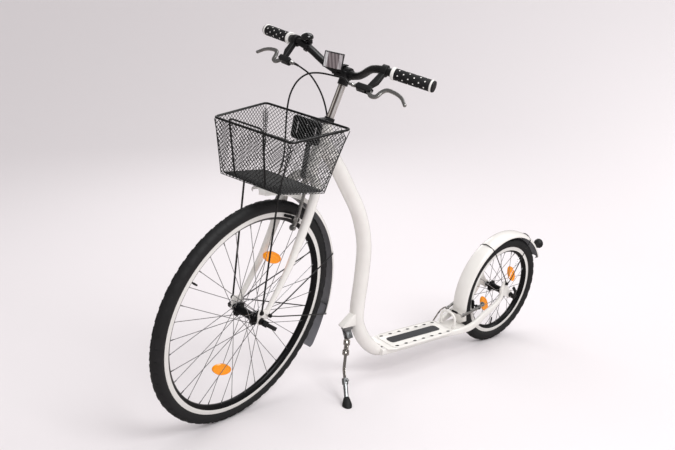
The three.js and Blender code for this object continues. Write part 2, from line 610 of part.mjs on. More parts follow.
function frontGuardSolid() {
  const g = frontGuard;
  const shell = guardShell(frontGuardCentre, g.radius, g.start, g.end, g.half, g.steps,
    (share) => taperedEnd(share, g.steps));
  const flapStart = g.end + mudflap.overlap;
  const flapArc = (radius, from, to) => range(mudflap.steps + 1).map((i) => {
    const place = polar(frontGuardCentre, radius, from + ((to - from) * i) / mudflap.steps);
    return flat(place.y, place.z);
  });
  const flapRadius = g.radius - guard.drop / 2;
  const flap = plate([...flapArc(flapRadius, flapStart, mudflap.end),
    ...flapArc(flapRadius + mudflap.thick, mudflap.end, flapStart)], mudflap.half, sidePlane);
  const tabFoot = polar(frontGuardCentre, g.radius + guard.thick / 2, guardTab.angle);
  const crownFoot = away(onAxis(fork.crown - fork.top), axis, -guardTab.thick / 2 - gap);
  const middle = mix(tabFoot, crownFoot, 0.5);
  const tab = block(aim(middle, unitX, crownFoot.clone().sub(tabFoot)), guardTab.half, guardTab.thick / 2,
    tabFoot.distanceTo(crownFoot) / 2);
  return join(shell, flap, tab);
}

const rearGuardOuter = rearGuard.radius + guard.thick;
const rearGuardEnd = 180 + deg(Math.asin((rearWheel.radius - panTop - gap) / rearGuardOuter));

function rearGuardSolid() {
  const g = rearGuard;
  return guardShell(rearCentre, g.radius, g.start, rearGuardEnd, g.half, g.steps,
    (share) => taperedEnd(share, g.steps));
}

// A wire bent at each of a list of places, kept level by a side direction
function bentWire(places, radius, side) {
  const rings = places.map((place, i) => {
    const before = places[Math.max(0, i - 1)];
    const after = places[Math.min(places.length - 1, i + 1)];
    return ringAt(place, after.clone().sub(before).normalize(), side, ellipse(faces.wire, radius));
  });
  return loft(rings);
}

// A stay is one wire that rises from an eye on the left, crosses over the guard and comes down on the right
function stayOverGuard(centre, radius, half, angle, eyePlace) {
  const crossShares = [1.16, 1.08, 0.85, 0.5, 0];
  const level = radius + guard.thick + guardStay.radius + guardStay.clear;
  const rise = crossShares.map((share) => polar(centre, level - guard.drop * share ** 2, angle, share * half));
  const left = [eyePlace, mix(eyePlace, rise[0], guardStay.straightShare).setX(eyePlace.x), ...rise];
  const right = left.slice(0, -1).map(rightOf).reverse();
  const wire = bentWire([...left, ...right], guardStay.radius, radial(angle + 90));
  const eye = (place) => rod(away(place, unitX, -guardStay.eyeHalf), away(place, unitX, guardStay.eyeHalf),
    guardStay.eye, faces.tube);
  return join(wire, eye(eyePlace), eye(rightOf(eyePlace)));
}

function rearStaySolid(angle, shift) {
  const x = rail.tail + dropout.half + gap + guardStay.eyeHalf + shift * (2 * guardStay.eyeHalf + gap);
  const eyePlace = V(x, rearCentre.y - rearEar.back, rearCentre.z + rearEar.rise);
  return stayOverGuard(rearCentre, rearGuard.radius, rearGuard.half, angle, eyePlace);
}

function frontStaySolid(angle, shift) {
  const x = frontTip.at + frontTip.half + gap + guardStay.eyeHalf + shift * (2 * guardStay.eyeHalf + gap);
  const eyePlace = V(x, guardEyelet.back, frontWheel.radius + guardEyelet.rise);
  return stayOverGuard(frontGuardCentre, frontGuard.radius, frontGuard.half, angle, eyePlace);
}

function tailReflectorSolid() {
  const t = tailReflector;
  const foot = polar(rearCentre, rearGuardOuter, t.angle);
  const centre = polar(rearCentre, rearGuardOuter + t.at, t.angle);
  const profile = [[0, -t.depth], [t.radius * 0.6, -t.depth * 0.75], [t.radius * 0.93, -t.depth * 0.35],
    [t.radius, 0], [t.radius, t.depth * 0.25], [t.radius * 0.85, t.depth * 0.4], [0, t.depth * 0.5]];
  return join(turned(profile, faces.ring, aim(centre, V(0, 1, 0), unitZ)), rod(foot, centre, t.post));
}

// Side stand, drawn about its pivot
const standPivot = V(stand.pivotX, tubeFront(standBracket.low) - stand.pivotAhead, standBracket.low - stand.drop);
const legWay = V(Math.tan(rad(stand.out)), -Math.tan(rad(stand.ahead)), -1).normalize();
const foldedWay = V(Math.tan(rad(stand.foldedOut)), 1, -Math.tan(rad(stand.foldedDrop))).normalize();
const standAxis = legWay.clone().cross(foldedWay).normalize();
const lowerWay = V(Math.tan(rad(standBend.out)), -Math.tan(rad(standBend.ahead)), -1).normalize();
const bendPlace = away(standPivot, legWay, standBend.at);
const alongLeg = (distance) => (distance < standBend.at
  ? away(standPivot, legWay, distance) : away(bendPlace, lowerWay, distance - standBend.at));

function standHeadSolid() {
  const h = standHead;
  const top = block(at(standPivot.x, standPivot.y - h.deep / 2, standBracket.low - gap - h.tall), h.half, h.deep,
    h.tall);
  const reach = stand.drop - gap;
  const upright = away(unitZ, standAxis, -standAxis.z).normalize();
  const cheekAt = standLeg.knuckleHalf + gap + h.cheek / 2;
  const cheeks = [1, -1].map((side) => {
    const centre = away(away(standPivot, standAxis, side * cheekAt), upright, (reach - h.below) / 2);
    return block(aim(centre, standAxis, upright), h.cheek / 2, h.cheekHalf, (reach + h.below) / 2 - gap);
  });
  const pinEnd = cheekAt + h.cheek;
  const pin = rod(away(standPivot, standAxis, -pinEnd), away(standPivot, standAxis, pinEnd), h.pin);
  const ceiling = block(at(standPivot.x, standPivot.y, standBracket.low + standBracket.reach),
    standBracket.reach, standBracket.reach, standBracket.reach + gap);
  return cut(join(top, cheeks, pin), ceiling);
}

function standLegSolid() {
  const l = standLeg;
  const knuckle = rod(away(standPivot, standAxis, -l.knuckleHalf), away(standPivot, standAxis, l.knuckleHalf),
    l.knuckle, faces.tube);
  const bore = rod(away(standPivot, standAxis, -l.knuckleHalf - overrun), away(standPivot, standAxis,
    l.knuckleHalf + overrun), standHead.pin + 2 * gap, faces.tube);
  const neck = rod(alongLeg(0), alongLeg(legPlaces.collar), l.knuckleHalf);
  const shank = rod(alongLeg(legPlaces.collar), alongLeg(legPlaces.second + overrun), l.neck);
  const collars = [legPlaces.collar, legPlaces.second].map((place) =>
    rod(alongLeg(place), alongLeg(place + l.collarLength), l.collar, faces.tube));
  const rodPlaces = [legPlaces.second, standBend.at - l.bend, standBend.at, standBend.at + l.bend,
    legPlaces.clamp, legPlaces.clamp + standTube.overlap];
  const bent = tube(rodPlaces.map(alongLeg), ellipse(faces.tube, l.rod), 9);
  return join(cut(join(knuckle, neck), bore), shank, collars, bent);
}

function standTubeSolid(length) {
  const t = standTube;
  const top = legPlaces.clamp;
  const end = length - standFoot.length + standFoot.socket;
  const screwWay = standAxis;
  const body = join(
    rod(alongLeg(top), alongLeg(end), t.radius, faces.tube),
    rod(alongLeg(top), alongLeg(top + t.clampLength), t.clamp, faces.tube),
    rod(alongLeg(top + t.clampLength / 2), away(alongLeg(top + t.clampLength / 2), screwWay, t.screwReach),
      t.screw, faces.wire),
  );
  return cut(body, rod(alongLeg(top - overrun), alongLeg(top + t.overlap + overrun), standLeg.rod + 3 * gap,
    faces.tube));
}

// The foot is a cone on the tube's end, with its sole cut flat to the ground
function standFootSolid(length, ground) {
  const f = standFoot;
  const socketFloor = length - f.length + f.socket + gap;
  const socket = standTube.radius + gap;
  const profile = [
    [socket, length - f.length], [f.top, length - f.length], [f.low, length - f.heel], [f.low, length + f.low],
    [0, length + f.low], [0, socketFloor], [socket, socketFloor], [socket, length - f.length],
  ];
  const cone = turned(profile, faces.ring, aim(away(bendPlace, lowerWay, -standBend.at), lowerWay, standAxis));
  return cut(cone, ground);
}

// Fork, with the brake pins and the steerer
const bladeShares = [
  [0, 0, 0.28], [0.037, 0.059, 0.72], [0.103, 0.12, 0.95], [0.176, 0.17, 1], [0.297, 0.235, 1],
  [0.478, 0.355, 1], [0.667, 0.52, 1.01], [0.877, 0.78, 1.01], [0.955, 0.88, 1.01],
];
const crownCentre = onAxis(fork.crown);
const bladePlaces = bladeShares.map(([down, forward, out]) => V(out * fork.half,
  THREE.MathUtils.lerp(crownCentre.y, 0, forward), THREE.MathUtils.lerp(crownCentre.z, frontWheel.radius, down)));

function leftBladeSolid() {
  const path = new THREE.CatmullRomCurve3(bladePlaces, false, "centripetal");
  const steps = 9;
  const side = V(0, 1, 0);
  const rings = range(steps + 1).map((i) => {
    const share = i / steps;
    const radius = THREE.MathUtils.lerp(fork.top, fork.tip, THREE.MathUtils.smoothstep(share, 0.25, 1));
    return ringAt(path.getPointAt(share), path.getTangentAt(share), side, ellipse(faces.rod + 2, radius));
  });
  return loft(rings);
}

function frontTipSolid() {
  const t = frontTip;
  const outlineShares = [
    [-0.9, 0.5], [-1.1, 1.6], [-1, 2.7], [-0.4, 3], [0.3, 2.7], [1, 2.8], [2.1, 2.3], [2.9, 1.6],
    [3.1, 0.9], [2.7, 0.35], [1.6, -0.1], [0.9, -0.6], [0.5, -1.05], [-0.5, -1.05], [-0.95, -0.4],
  ];
  const place = ([along, up]) => flat(along * t.radius, frontWheel.radius + up * t.radius);
  const body = plate(outlineShares.map(place), t.half, sidePlane.clone().setPosition(t.at, 0, 0));
  const slot = block(at(t.at, 0, frontWheel.radius - t.radius), t.half + overrun, t.slot, t.radius);
  const seat = rod(V(t.at - t.half - overrun, 0, frontWheel.radius), V(t.at + t.half + overrun, 0,
    frontWheel.radius), t.slot, faces.tube);
  return cut(body, slot, seat);
}

function forkSolid() {
  const tyreClear = frontWheel.tyre + brake.half;
  const bossBase = away(frontPivot, frontPinWay, -tyreClear - brake.half - brakePin.boss);
  const shoulder = away(frontPivot, frontPinWay, -brake.half - gap);
  const side = join(leftBladeSolid(), frontTipSolid(), rod(bossBase, shoulder, brakePin.boss),
    brakePinSolid(frontPivot, frontPinWay));
  const bottom = onAxis(fork.crown - fork.top);
  const top = onAxis(fork.steererTop);
  const raceTop = away(onAxis(head.low), axis, -gap);
  const middle = join(rod(bottom, top, steerer.radius, faces.ring), rod(onAxis(fork.crown), raceTop, fork.race,
    faces.ring));
  const bore = rod(away(top, axis, -steerer.depth), away(top, axis, overrun), steerer.bore, faces.ring);
  return cut(join(middle, side, mirrored(side)), bore);
}

// Brake arm with its pad, drawn for the left side
function brakeArmSolid(wheel, pivot, armWay, pinWay) {
  const b = brake;
  const along = (distance, x) => away(V(x, pivot.y, pivot.z), armWay, distance);
  const points = [along(0, b.pivotAt), along(b.inset, brakeBow.pad), along(b.arm / 2, brakeBow.mid),
    along(b.arm, brakeBow.top)];
  const sectionAt = (share) => chamfered(b.half, THREE.MathUtils.lerp(b.wide, b.topWide, share));
  const arm = loft(ringsAlong(points, 7, sectionAt, pinWay));
  const knuckle = rod(away(pivot, pinWay, -b.half), away(pivot, pinWay, b.half), b.hub, faces.tube);
  const pinBore = rod(away(pivot, pinWay, -b.half - overrun), away(pivot, pinWay, b.half + overrun),
    brakePin.radius + gap, faces.tube);
  const padX = wheel.rimHalf + pad.gap + pad.thick / 2;
  const padCentre = along(b.inset, padX);
  const shoe = block(aim(padCentre, unitX, armWay), pad.thick / 2, pad.half, pad.tall);
  const stud = rod(padCentre, along(b.inset, brakeBow.pad + b.wide), pad.stud);
  const wireSlot = rod(along(b.wireAt, 0), along(b.wireAt, b.pivotAt + pad.thick), wireHole);
  return cut(join(arm, knuckle, shoe, stud), pinBore, wireSlot);
}

// Stem and handlebar
const barCentre = away(onAxis(stem.clampHeight), V(0, -1, 0), stem.ahead);
const barBend = V(bar.bend, barCentre.y - barRise.ahead, barCentre.z + barRise.up);
const barEnd = V(bar.end, barBend.y + barRise.sweep, barBend.z - barRise.fall);
const barWay = barEnd.clone().sub(barBend).normalize();
const onBar = (x) => away(barBend, barWay, (x - barBend.x) / barWay.x);

// The bar sits in its clamp a little lower on the left
const turnAbout = (centre, degrees) => at(centre.x, centre.y, centre.z)
  .multiply(new THREE.Matrix4().makeRotationY(rad(degrees))).multiply(at(-centre.x, -centre.y, -centre.z));
const barTurn = turnAbout(barCentre, barTilt);
const tilted = (solid) => solid.transform(barTurn.elements);
const tiltedPoint = (point) => point.clone().applyMatrix4(barTurn);

const riseShares = [[1, 0], [1.75, 0.14], [2.5, 0.42], [3.05, 0.67], [3.6, 0.86]];
const barRisePlaces = riseShares.map(([x, up]) => V(x * bar.middleHalf, barCentre.y - up * barRise.ahead,
  barCentre.z + up * barRise.up));

function stemPostSolid() {
  return rod(onAxis(fork.steererTop - stem.insert), onAxis(stem.postTop), stem.radius, faces.ring);
}

function stemClampSolid() {
  const c = clamp;
  const along = (x) => V(x, barCentre.y, barCentre.z);
  const ear = aim(away(barCentre, V(0, -1, 0), c.radius), unitX, unitZ);
  const bolts = [1, -1].map((side) => {
    const place = V(side * c.half * 0.6, barCentre.y - c.radius - c.bolt, barCentre.z);
    return rod(away(place, unitZ, -c.boltReach / 2), away(place, unitZ, c.boltReach / 2), c.bolt, faces.wire);
  });
  const barrel = join(
    rod(along(-c.half), along(c.half), c.radius, faces.ring),
    block(ear, c.half, c.bolt * 2, c.boltReach / 2 - c.bolt),
    bolts,
  );
  const collar = rod(onAxis(c.collarLow), onAxis(stem.clampHeight - c.slot), c.collar, faces.ring);
  const post = rod(onAxis(c.collarLow - overrun), away(onAxis(stem.postTop), axis, gap), stem.radius + gap,
    faces.ring);
  const bore = rod(along(-c.half - overrun), along(c.half + overrun), bar.middle + gap, faces.ring);
  const split = block(at(0, barCentre.y - c.radius, barCentre.z), c.half / 3, c.radius, c.slot);
  return cut(join(tilted(barrel), collar), post, tilted(join(bore, split)));
}

function handlebarSolid() {
  const left = [...barRisePlaces, barBend, onBar(bar.grip), mix(onBar(bar.grip), barEnd, 0.5), barEnd];
  const right = left.map((p) => V(-p.x, p.y, p.z)).reverse();
  const body = tube([...right, barCentre, ...left], ellipse(faces.tube + 2, bar.radius), 28);
  const sleeve = rod(V(-bar.middleHalf, barCentre.y, barCentre.z), V(bar.middleHalf, barCentre.y, barCentre.z),
    bar.middle, faces.ring);
  return join(body, sleeve);
}

function leftGripSolid() {
  const start = onBar(bar.grip);
  const length = start.distanceTo(barEnd) + gap;
  const bore = bar.radius + 3 * gap;
  const end = length + grip.cap;
  const profile = [
    [bore, 0], [grip.collar, 0], [grip.collar, grip.collarLength], [grip.radius, grip.collarLength + 1.5 * gap],
    [grip.radius, end - grip.ringLength], [grip.ring, end - grip.ringLength], [grip.ring, end - 2 * gap],
    [grip.radius, end], [0, end], [0, length], [bore, length], [bore, 0],
  ];
  return turned(profile, faces.ring, aim(start, barWay, unitZ));
}

// Brake controls live in a plane that holds the grip and hangs forward and down from it
const controlCentre = onBar(bar.bend + control.at);
const controlDown = V(0, -Math.cos(rad(control.tilt)), -Math.sin(rad(control.tilt)));
const controlFrame = aim(controlCentre, barWay, controlDown);
const inControl = (along, down, side = 0) => V(along, side, down).applyMatrix4(controlFrame);
const leverPivot = inControl(-control.pivotIn, control.pivotDown);
const pullAxis = V(0, 1, 0).transformDirection(controlFrame);

function leftControlSolid() {
  const { ring, half, arm, pivotIn, pivotDown } = control;
  const c = controlBody;
  const along = new THREE.Matrix4().multiplyMatrices(controlFrame, new THREE.Matrix4().makeBasis(
    V(1, 0, 0), V(0, 0, 1), V(0, -1, 0)));
  const armOutline = [flat(half * 0.9, 0), flat(-half, 0), flat(-pivotIn - half, pivotDown - c.tall),
    flat(-pivotIn, pivotDown - c.tall / 2), flat(half * 0.4, pivotDown * 0.62)];
  const bodyOutline = [flat(-pivotIn + c.half, pivotDown - c.tall), flat(-pivotIn - c.reachIn, pivotDown - c.tall),
    flat(-pivotIn - c.reachIn - c.tall / 2, pivotDown), flat(-pivotIn - c.reachIn, pivotDown + c.tall),
    flat(-pivotIn, pivotDown + c.tall), flat(-pivotIn + c.half, pivotDown + c.tall / 2)];
  const nozzleStart = -pivotIn - c.reachIn;
  const solid = join(
    rod(inControl(-half, 0), inControl(half, 0), ring, faces.ring),
    plate(armOutline, arm, along),
    plate(bodyOutline, c.half, along),
    rod(inControl(nozzleStart, pivotDown), inControl(nozzleStart - c.nozzleLength, pivotDown), c.nozzle,
      faces.rod, cable.sleeve),
  );
  const slotOutline = [flat(-pivotIn - lever.hub - 2 * gap, pivotDown - lever.hub - 2 * gap),
    flat(c.reachIn, pivotDown - lever.hub - 2 * gap), flat(c.reachIn, pivotDown * 2),
    flat(-pivotIn - lever.hub - 2 * gap, pivotDown * 2)];
  const pin = rod(inControl(-pivotIn, pivotDown, -c.half), inControl(-pivotIn, pivotDown, c.half), c.pin);
  const bore = rod(inControl(-half - overrun, 0), inControl(half + overrun, 0), bar.radius + 5 * gap, faces.ring);
  return join(cut(solid, bore, plate(slotOutline, c.slot, along)), pin);
}

function leftLeverSolid() {
  const shares = [[0, 0], [0.13, 0.13], [0.25, 0.11], [0.33, -0.06], [0.42, -0.15], [0.7, -0.13], [0.86, -0.06],
    [0.94, 0.02], [1, 0.08]];
  const points = shares.map(([along, down]) =>
    inControl(along * lever.reach - control.pivotIn, down * lever.reach + control.pivotDown));
  const sectionAt = (share) => chamfered(lever.thick, THREE.MathUtils.lerp(lever.wide, lever.tipWide, share));
  const blade = loft(ringsAlong(points, 10, sectionAt, pullAxis));
  const knuckle = rod(inControl(-control.pivotIn, control.pivotDown, -lever.thick),
    inControl(-control.pivotIn, control.pivotDown, lever.thick), lever.hub, faces.tube);
  const bore = rod(inControl(-control.pivotIn, control.pivotDown, -lever.thick - overrun),
    inControl(-control.pivotIn, control.pivotDown, lever.thick + overrun), controlBody.pin + gap, faces.rod);
  return cut(join(blade, knuckle), bore);
}

// Bell on the right of the bar, and its thumb lever
const bellFoot = rightOf(barRisePlaces.at(-1));
const bellBarWay = rightOf(barBend).sub(rightOf(barRisePlaces.at(-2))).normalize();
const bellWay = V(-0.12, -0.25, 1).normalize();
const bellBase = away(bellFoot, bellWay, bell.rise);

function bellSolid() {
  const b = bell;
  const barLine = bellBarWay;
  const ring = rod(away(bellFoot, barLine, -b.ringHalf), away(bellFoot, barLine, b.ringHalf), b.ring, faces.ring);
  const bore = rod(away(bellFoot, barLine, -b.ring), away(bellFoot, barLine, b.ring), bar.radius + 5 * gap,
    faces.ring);
  const dome = [[0, 0], [b.dome, 0], [b.dome, b.tall * 0.28], [b.dome * 0.86, b.tall * 0.66],
    [b.dome * 0.5, b.tall * 0.93], [0, b.tall]];
  return cut(join(ring, rod(bellFoot, away(bellBase, bellWay, bell.ringHalf), b.stem, faces.rod),
    turned(dome, faces.ring, aim(away(bellBase, bellWay, bell.ringHalf - gap), bellWay, unitX))), bore);
}

function bellLeverSolid() {
  const l = bellLever;
  const out = V(0.75, -0.35, 0);
  out.addScaledVector(bellWay, -out.dot(bellWay)).normalize();
  const centre = away(bellBase, bellWay, bell.ringHalf / 2 - l.radius);
  const ring = rod(away(centre, bellWay, -l.radius / 2), away(centre, bellWay, l.radius / 2), bell.stem + l.hub,
    faces.tube);
  const bore = rod(away(centre, bellWay, -l.hub), away(centre, bellWay, l.hub), bell.stem + 3 * gap, faces.tube);
  const tip = away(centre, out, l.length);
  const arm = rod(centre, tip, l.radius / 2, faces.wire);
  const knob = rod(away(tip, bellWay, -l.radius), away(tip, bellWay, l.knob * 2), l.knob, faces.rod);
  return cut(join(ring, arm, knob), bore);
}

// Front reflector: three upright facets in a case that is turned a little to the left on its arm
function barReflectorSolid() {
  const l = lamp;
  const outline = [
    flat(-l.half, l.facet), flat(l.chamfer - l.half, 0), flat(l.half - l.chamfer, 0), flat(l.half, l.facet),
    flat(l.half, l.depth), flat(-l.half, l.depth),
  ];
  const centre = V(0, barCentre.y - l.ahead, barCentre.z + l.rise);
  const body = plate(outline, l.tall / 2, new THREE.Matrix4().makeRotationZ(rad(l.yaw)).setPosition(centre));
  const from = V(0, centre.y + l.depth / 2, centre.z - l.tall / 2 + lampArm.thick);
  const to = V(0, barCentre.y, barCentre.z + clamp.radius + gap + lampArm.thick / 2);
  const arm = block(aim(mix(from, to, 0.5), unitX, to.clone().sub(from)), lampArm.half, lampArm.thick / 2,
    from.distanceTo(to) / 2);
  const foot = block(at(0, to.y, to.z), lampArm.half, lampArm.half, lampArm.thick / 2);
  return join(body, arm, foot);
}

// Basket: five flat nets, a rim wire, a hoop on its front and a bracket behind it
const corner = (end, level, side) => (level === "rim"
  ? V(side * end.rimHalf, end.rimY, end.rimZ) : V(side * end.floorHalf, end.floorY, end.floorZ));
const rimCorners = [corner(basketFront, "rim", 1), corner(basketRear, "rim", 1), corner(basketRear, "rim", -1),
  corner(basketFront, "rim", -1)];
const floorCorners = [corner(basketFront, "floor", 1), corner(basketRear, "floor", 1),
  corner(basketRear, "floor", -1), corner(basketFront, "floor", -1)];

// A net is a sheet between four corners with staggered diamonds cut out of it
function netSolid(lowA, lowB, highB, highA, insets) {
  const along = lowB.clone().sub(lowA).normalize();
  const up = highA.clone().add(highB).sub(lowA).sub(lowB).normalize();
  const normal = along.clone().cross(up).normalize();
  const pull = (point, toward, step, rise) => away(away(point, toward, step), up, rise);
  const back = along.clone().negate();
  const outline = [
    pull(lowA, along, insets.side, insets.low), pull(lowB, back, insets.side, insets.low),
    pull(highB, back, insets.side, -insets.high), pull(highA, along, insets.side, -insets.high),
  ];
  const half = basket.sheet / 2;
  const sheet = loft([outline.map((p) => away(p, normal, -half)), outline.map((p) => away(p, normal, half))]);
  const frame = new THREE.Matrix4().makeBasis(along, up, normal).setPosition(outline[0]);
  const flatOutline = outline.map((p) => p.clone().applyMatrix4(frame.clone().invert()));
  const [, right, topRight, topLeft] = flatOutline;
  const height = Math.min(topRight.y, topLeft.y);
  const rows = Math.max(1, Math.floor((height - 2 * net.strand) / (net.tall / 2)) - 1);
  const pitchUp = (height - 2 * net.strand) / (rows + 1);
  const edgeAt = (y) => [(topLeft.x * y) / topLeft.y, right.x + ((topRight.x - right.x) * y) / topRight.y];
  const diamonds = range(rows).flatMap((row) => {
    const y = net.strand + pitchUp * (row + 1);
    const [left, end] = edgeAt(y);
    const columns = Math.floor((end - left - 2 * net.strand) / net.wide);
    const count = columns - (row % 2);
    const pitch = (end - left - 2 * net.strand) / columns;
    return range(Math.max(0, count)).map((i) => {
      const x = left + net.strand + pitch * (i + 0.5 + (row % 2) / 2);
      const across = pitch / 2 - net.strand / 2;
      const tall = pitchUp - net.strand / 2;
      const shape = [flat(x - across, y), flat(x, y - tall), flat(x + across, y), flat(x, y + tall)];
      return plate(shape, basket.sheet + overrun, frame);
    });
  });
  return cut(sheet, wasm.Manifold.union(diamonds));
}

const basketTurn = turnAbout(V(0, 0, basket.tiltHeight), basket.tilt);
const inBasket = (solid) => solid.transform(basketTurn.elements);
const sheetInset = basket.sheet / 2 + 2 * gap;
const wallInsets = { side: sheetInset, low: sheetInset + basket.sheet / 2, high: basket.rim + gap };
const wall = (a, b) =>
  inBasket(netSolid(floorCorners[a], floorCorners[b], rimCorners[b], rimCorners[a], wallInsets));

function basketFrontSolid() {
  const h = hoop;
  const foot = V(h.footHalf, basketFront.floorY - basket.sheet, basketFront.floorZ + wallInsets.low);
  const top = V(h.half, basketFront.rimY - h.out, basketFront.rimZ + h.rise);
  const leftShares = [0.06, 0.35, 0.7, 0.94];
  const left = leftShares.map((share) => mix(foot, top, share));
  const across = [V(h.half * 0.93, top.y, top.z), V(0, top.y, top.z)];
  const right = [...left, across[0]].reverse().map((p) => V(-p.x, p.y, p.z));
  const wire = tube([...left, ...across, ...right], ellipse(faces.wire, h.radius), 18);
  return join(wall(0, 3), inBasket(wire));
}

function basketFloorSolid() {
  const insets = { side: sheetInset, low: sheetInset, high: sheetInset };
  return inBasket(netSolid(floorCorners[0], floorCorners[3], floorCorners[2], floorCorners[1], insets));
}

function basketRimSolid() {
  const steps = 4;
  const loop = rimCorners.flatMap((here, i) => {
    const before = rimCorners[(i + 3) % 4];
    const after = rimCorners[(i + 1) % 4];
    const from = away(here, before.clone().sub(here).normalize(), basket.corner);
    const to = away(here, after.clone().sub(here).normalize(), basket.corner);
    return range(steps + 1).map((k) => new THREE.QuadraticBezierCurve3(from, here, to).getPoint(k / steps));
  });
  const rings = loop.map((point, i) => {
    const tangent = loop[(i + 1) % loop.length].clone().sub(loop.at(i - 1)).normalize();
    return ringAt(point, tangent, unitZ, ellipse(faces.rod, basket.rim));
  });
  return inBasket(loft(rings, true));
}

const backWallY = (z) => THREE.MathUtils.mapLinear(z, basketRear.floorZ, basketRear.rimZ, basketRear.floorY,
  basketRear.rimY);

function basketBracketSolid() {
  const b = bracket;
  const a = bracketArm;
  const face = backWallY(b.top) + basket.sheet / 2 + 3 * gap;
  const centre = V(0, face + b.thick / 2, b.top - b.tall / 2);
  const body = plate(roundedRectangle(b.half, centre.z - b.tall / 2, centre.z + b.tall / 2, b.thick), b.thick / 2,
    new THREE.Matrix4().makeBasis(unitX, unitZ, V(0, -1, 0)).setPosition(0, centre.y, 0));
  const slots = [-1, 0, 1].map((i) => block(at(i * b.socket * 1.5, centre.y, centre.z), b.slot, b.thick,
    b.slotHalf));
  const ringCentre = onAxis(a.ringAt);
  const ring = rod(away(ringCentre, axis, -a.ringHalf), away(ringCentre, axis, a.ringHalf), a.ring, faces.ring);
  const armEnd = V(0, (centre.y + ringCentre.y) / 2, ringCentre.z);
  const arm = block(at(0, armEnd.y, armEnd.z), a.half, (ringCentre.y - centre.y) / 2, a.ringHalf);
  const bore = rod(away(ringCentre, axis, -a.ringHalf - overrun), away(ringCentre, axis, a.ringHalf + overrun),
    stem.radius + gap, faces.ring);
  const legFoot = crownCentre.z - a.foot;
  const legTop = centre.z;
  const leg = block(at(0, a.legY, (legTop + legFoot) / 2), a.half, a.thick / 2, (legTop - legFoot) / 2);
  const legRoot = block(at(0, (centre.y + a.legY) / 2, legTop), a.half, (a.legY - centre.y + a.thick) / 2, a.foot);
  const crownFace = crownCentre.y - fork.race - gap;
  const foot = block(at(0, (a.legY + crownFace) / 2, legFoot + a.thick), a.half, (crownFace - a.legY) / 2,
    a.thick);
  return cut(join(cut(body, slots), arm, ring, leg, legRoot, foot), bore);
}

function basketStaySolid(side) {
  const s = basketStay;
  const outward = V(side, 0, 0);
  const low = V(side * (frontTip.at + frontTip.half + gap + s.eyeHalf), basketEyelet.back,
    frontWheel.radius + basketEyelet.rise);
  const floorHeight = THREE.MathUtils.mapLinear(s.topY, basketFront.floorY, basketRear.floorY,
    basketFront.floorZ, basketRear.floorZ);
  const under = (x) => V(side * x, s.topY, floorHeight - basket.sheet / 2 - 2 * gap - s.radius)
    .applyMatrix4(basketTurn);
  const top = under(s.topX);
  return join(
    tube([low, mix(low, top, 0.5), mix(low, top, 0.96), under(s.topX - s.eye), under(s.topX - 3 * s.eye)],
      ellipse(faces.wire, s.radius), 8),
    rod(away(low, outward, -s.eyeHalf), away(low, outward, s.eyeHalf + s.boltLength), s.bolt, faces.wire),
    rod(away(low, outward, -s.eyeHalf), away(low, outward, s.eyeHalf), s.eye, faces.tube),
  );
}

// Brake cables: each route is a list of places chosen along the real run
const nozzleEnd = inControl(-control.pivotIn - controlBody.reachIn - controlBody.nozzleLength - 6 * gap,
  control.pivotDown);
const frontCableRoute = [
  V(76, 149, 1056), V(36, 150, 1055), V(-19, 150, 1049), V(-56, 150, 1036), V(-85, 150, 1009),
  V(-102, 150, 970), V(-105, 150, 930), V(-99, 150, 877), V(-91, 150, 826), V(-85, 148, 780),
  V(-83, 142, 755),
];
const frontNoodleRoute = [V(-83, 142, 755), V(-80, 134, 738), V(-70, 122, 727)];
const cablePort = [V(...cableEntry.outside), V(...cableEntry.inside)];
const rearCableRoute = [
  V(-84, 160, 1048), V(-62, 175, 1034), V(-37, 200, 993), V(-22, 216, 950), V(-20, 227, 915),
  V(-27, 231, 888), V(-31, 241, 862), cablePort[0], mix(...cablePort, 0.5), cablePort[1], V(0, 318, 742),
  V(0, 360, 690), V(0, 414, 613), V(0, 447, 517), V(0, 465, 415), V(0, 471, 306), V(0, 490, 212),
  V(0, 535, 134), V(0, 586, 104), V(0, 640, 99), V(-5, 760, 97), V(-9, 820, 92), V(-18, 858, 82),
  V(-31, 892, 77), V(-46, 922, 69), V(-64, 952, 71), V(-71, 980, 95), V(-70, 998, 122), V(-65, 1007, 143),
];

function brakeCableSolid(start, route, noodleRoute, pivot, armWay, steps) {
  const link = away(V(0, pivot.y, pivot.z), armWay, brake.wireAt);
  const reach = brakeBow.top + brake.topWide + 4 * gap;
  const noodleEnd = V(-reach, link.y, link.z);
  const wireEnd = V(reach + 2 * cable.noodle, link.y, link.z);
  const housing = tube([start, ...route], ellipse(faces.wire, cable.radius), steps);
  const noodle = tube([...noodleRoute, away(noodleEnd, unitX, -cable.boot), noodleEnd],
    ellipse(faces.rod, cable.noodle), 8);
  const wire = rod(away(noodleEnd, unitX, -cable.noodle), wireEnd, cable.wire, faces.wire);
  const bootHalf = brake.arm / 9;
  const boot = rod(V(-bootHalf, link.y, link.z), V(bootHalf, link.y, link.z), cable.boot, faces.rod);
  return join(housing, noodle, wire, boot);
}

// Pieces, gathered by the body that carries them
const piece = (name, solid, material) => ({ name, solid, material });
const frontArmWay = radial(frontBrakeAngle);
const rearArmWay = radial(rearBrake.armAngle);
const frontArm = brakeArmSolid(frontWheel, frontPivot, frontArmWay, frontPinWay);
const rearArm = brakeArmSolid(rearWheel, rearPivot, rearArmWay, rearPinWay);
const frontOutside = frontTip.at + frontTip.half;
const rearOutside = rail.tail + dropout.half;
const leftRail = leftRailSolid();
const leftGrip = leftGripSolid();
const leftControl = leftControlSolid();
const leftLever = leftLeverSolid();
const rightPull = V(pullAxis.x, -pullAxis.y, -pullAxis.z);

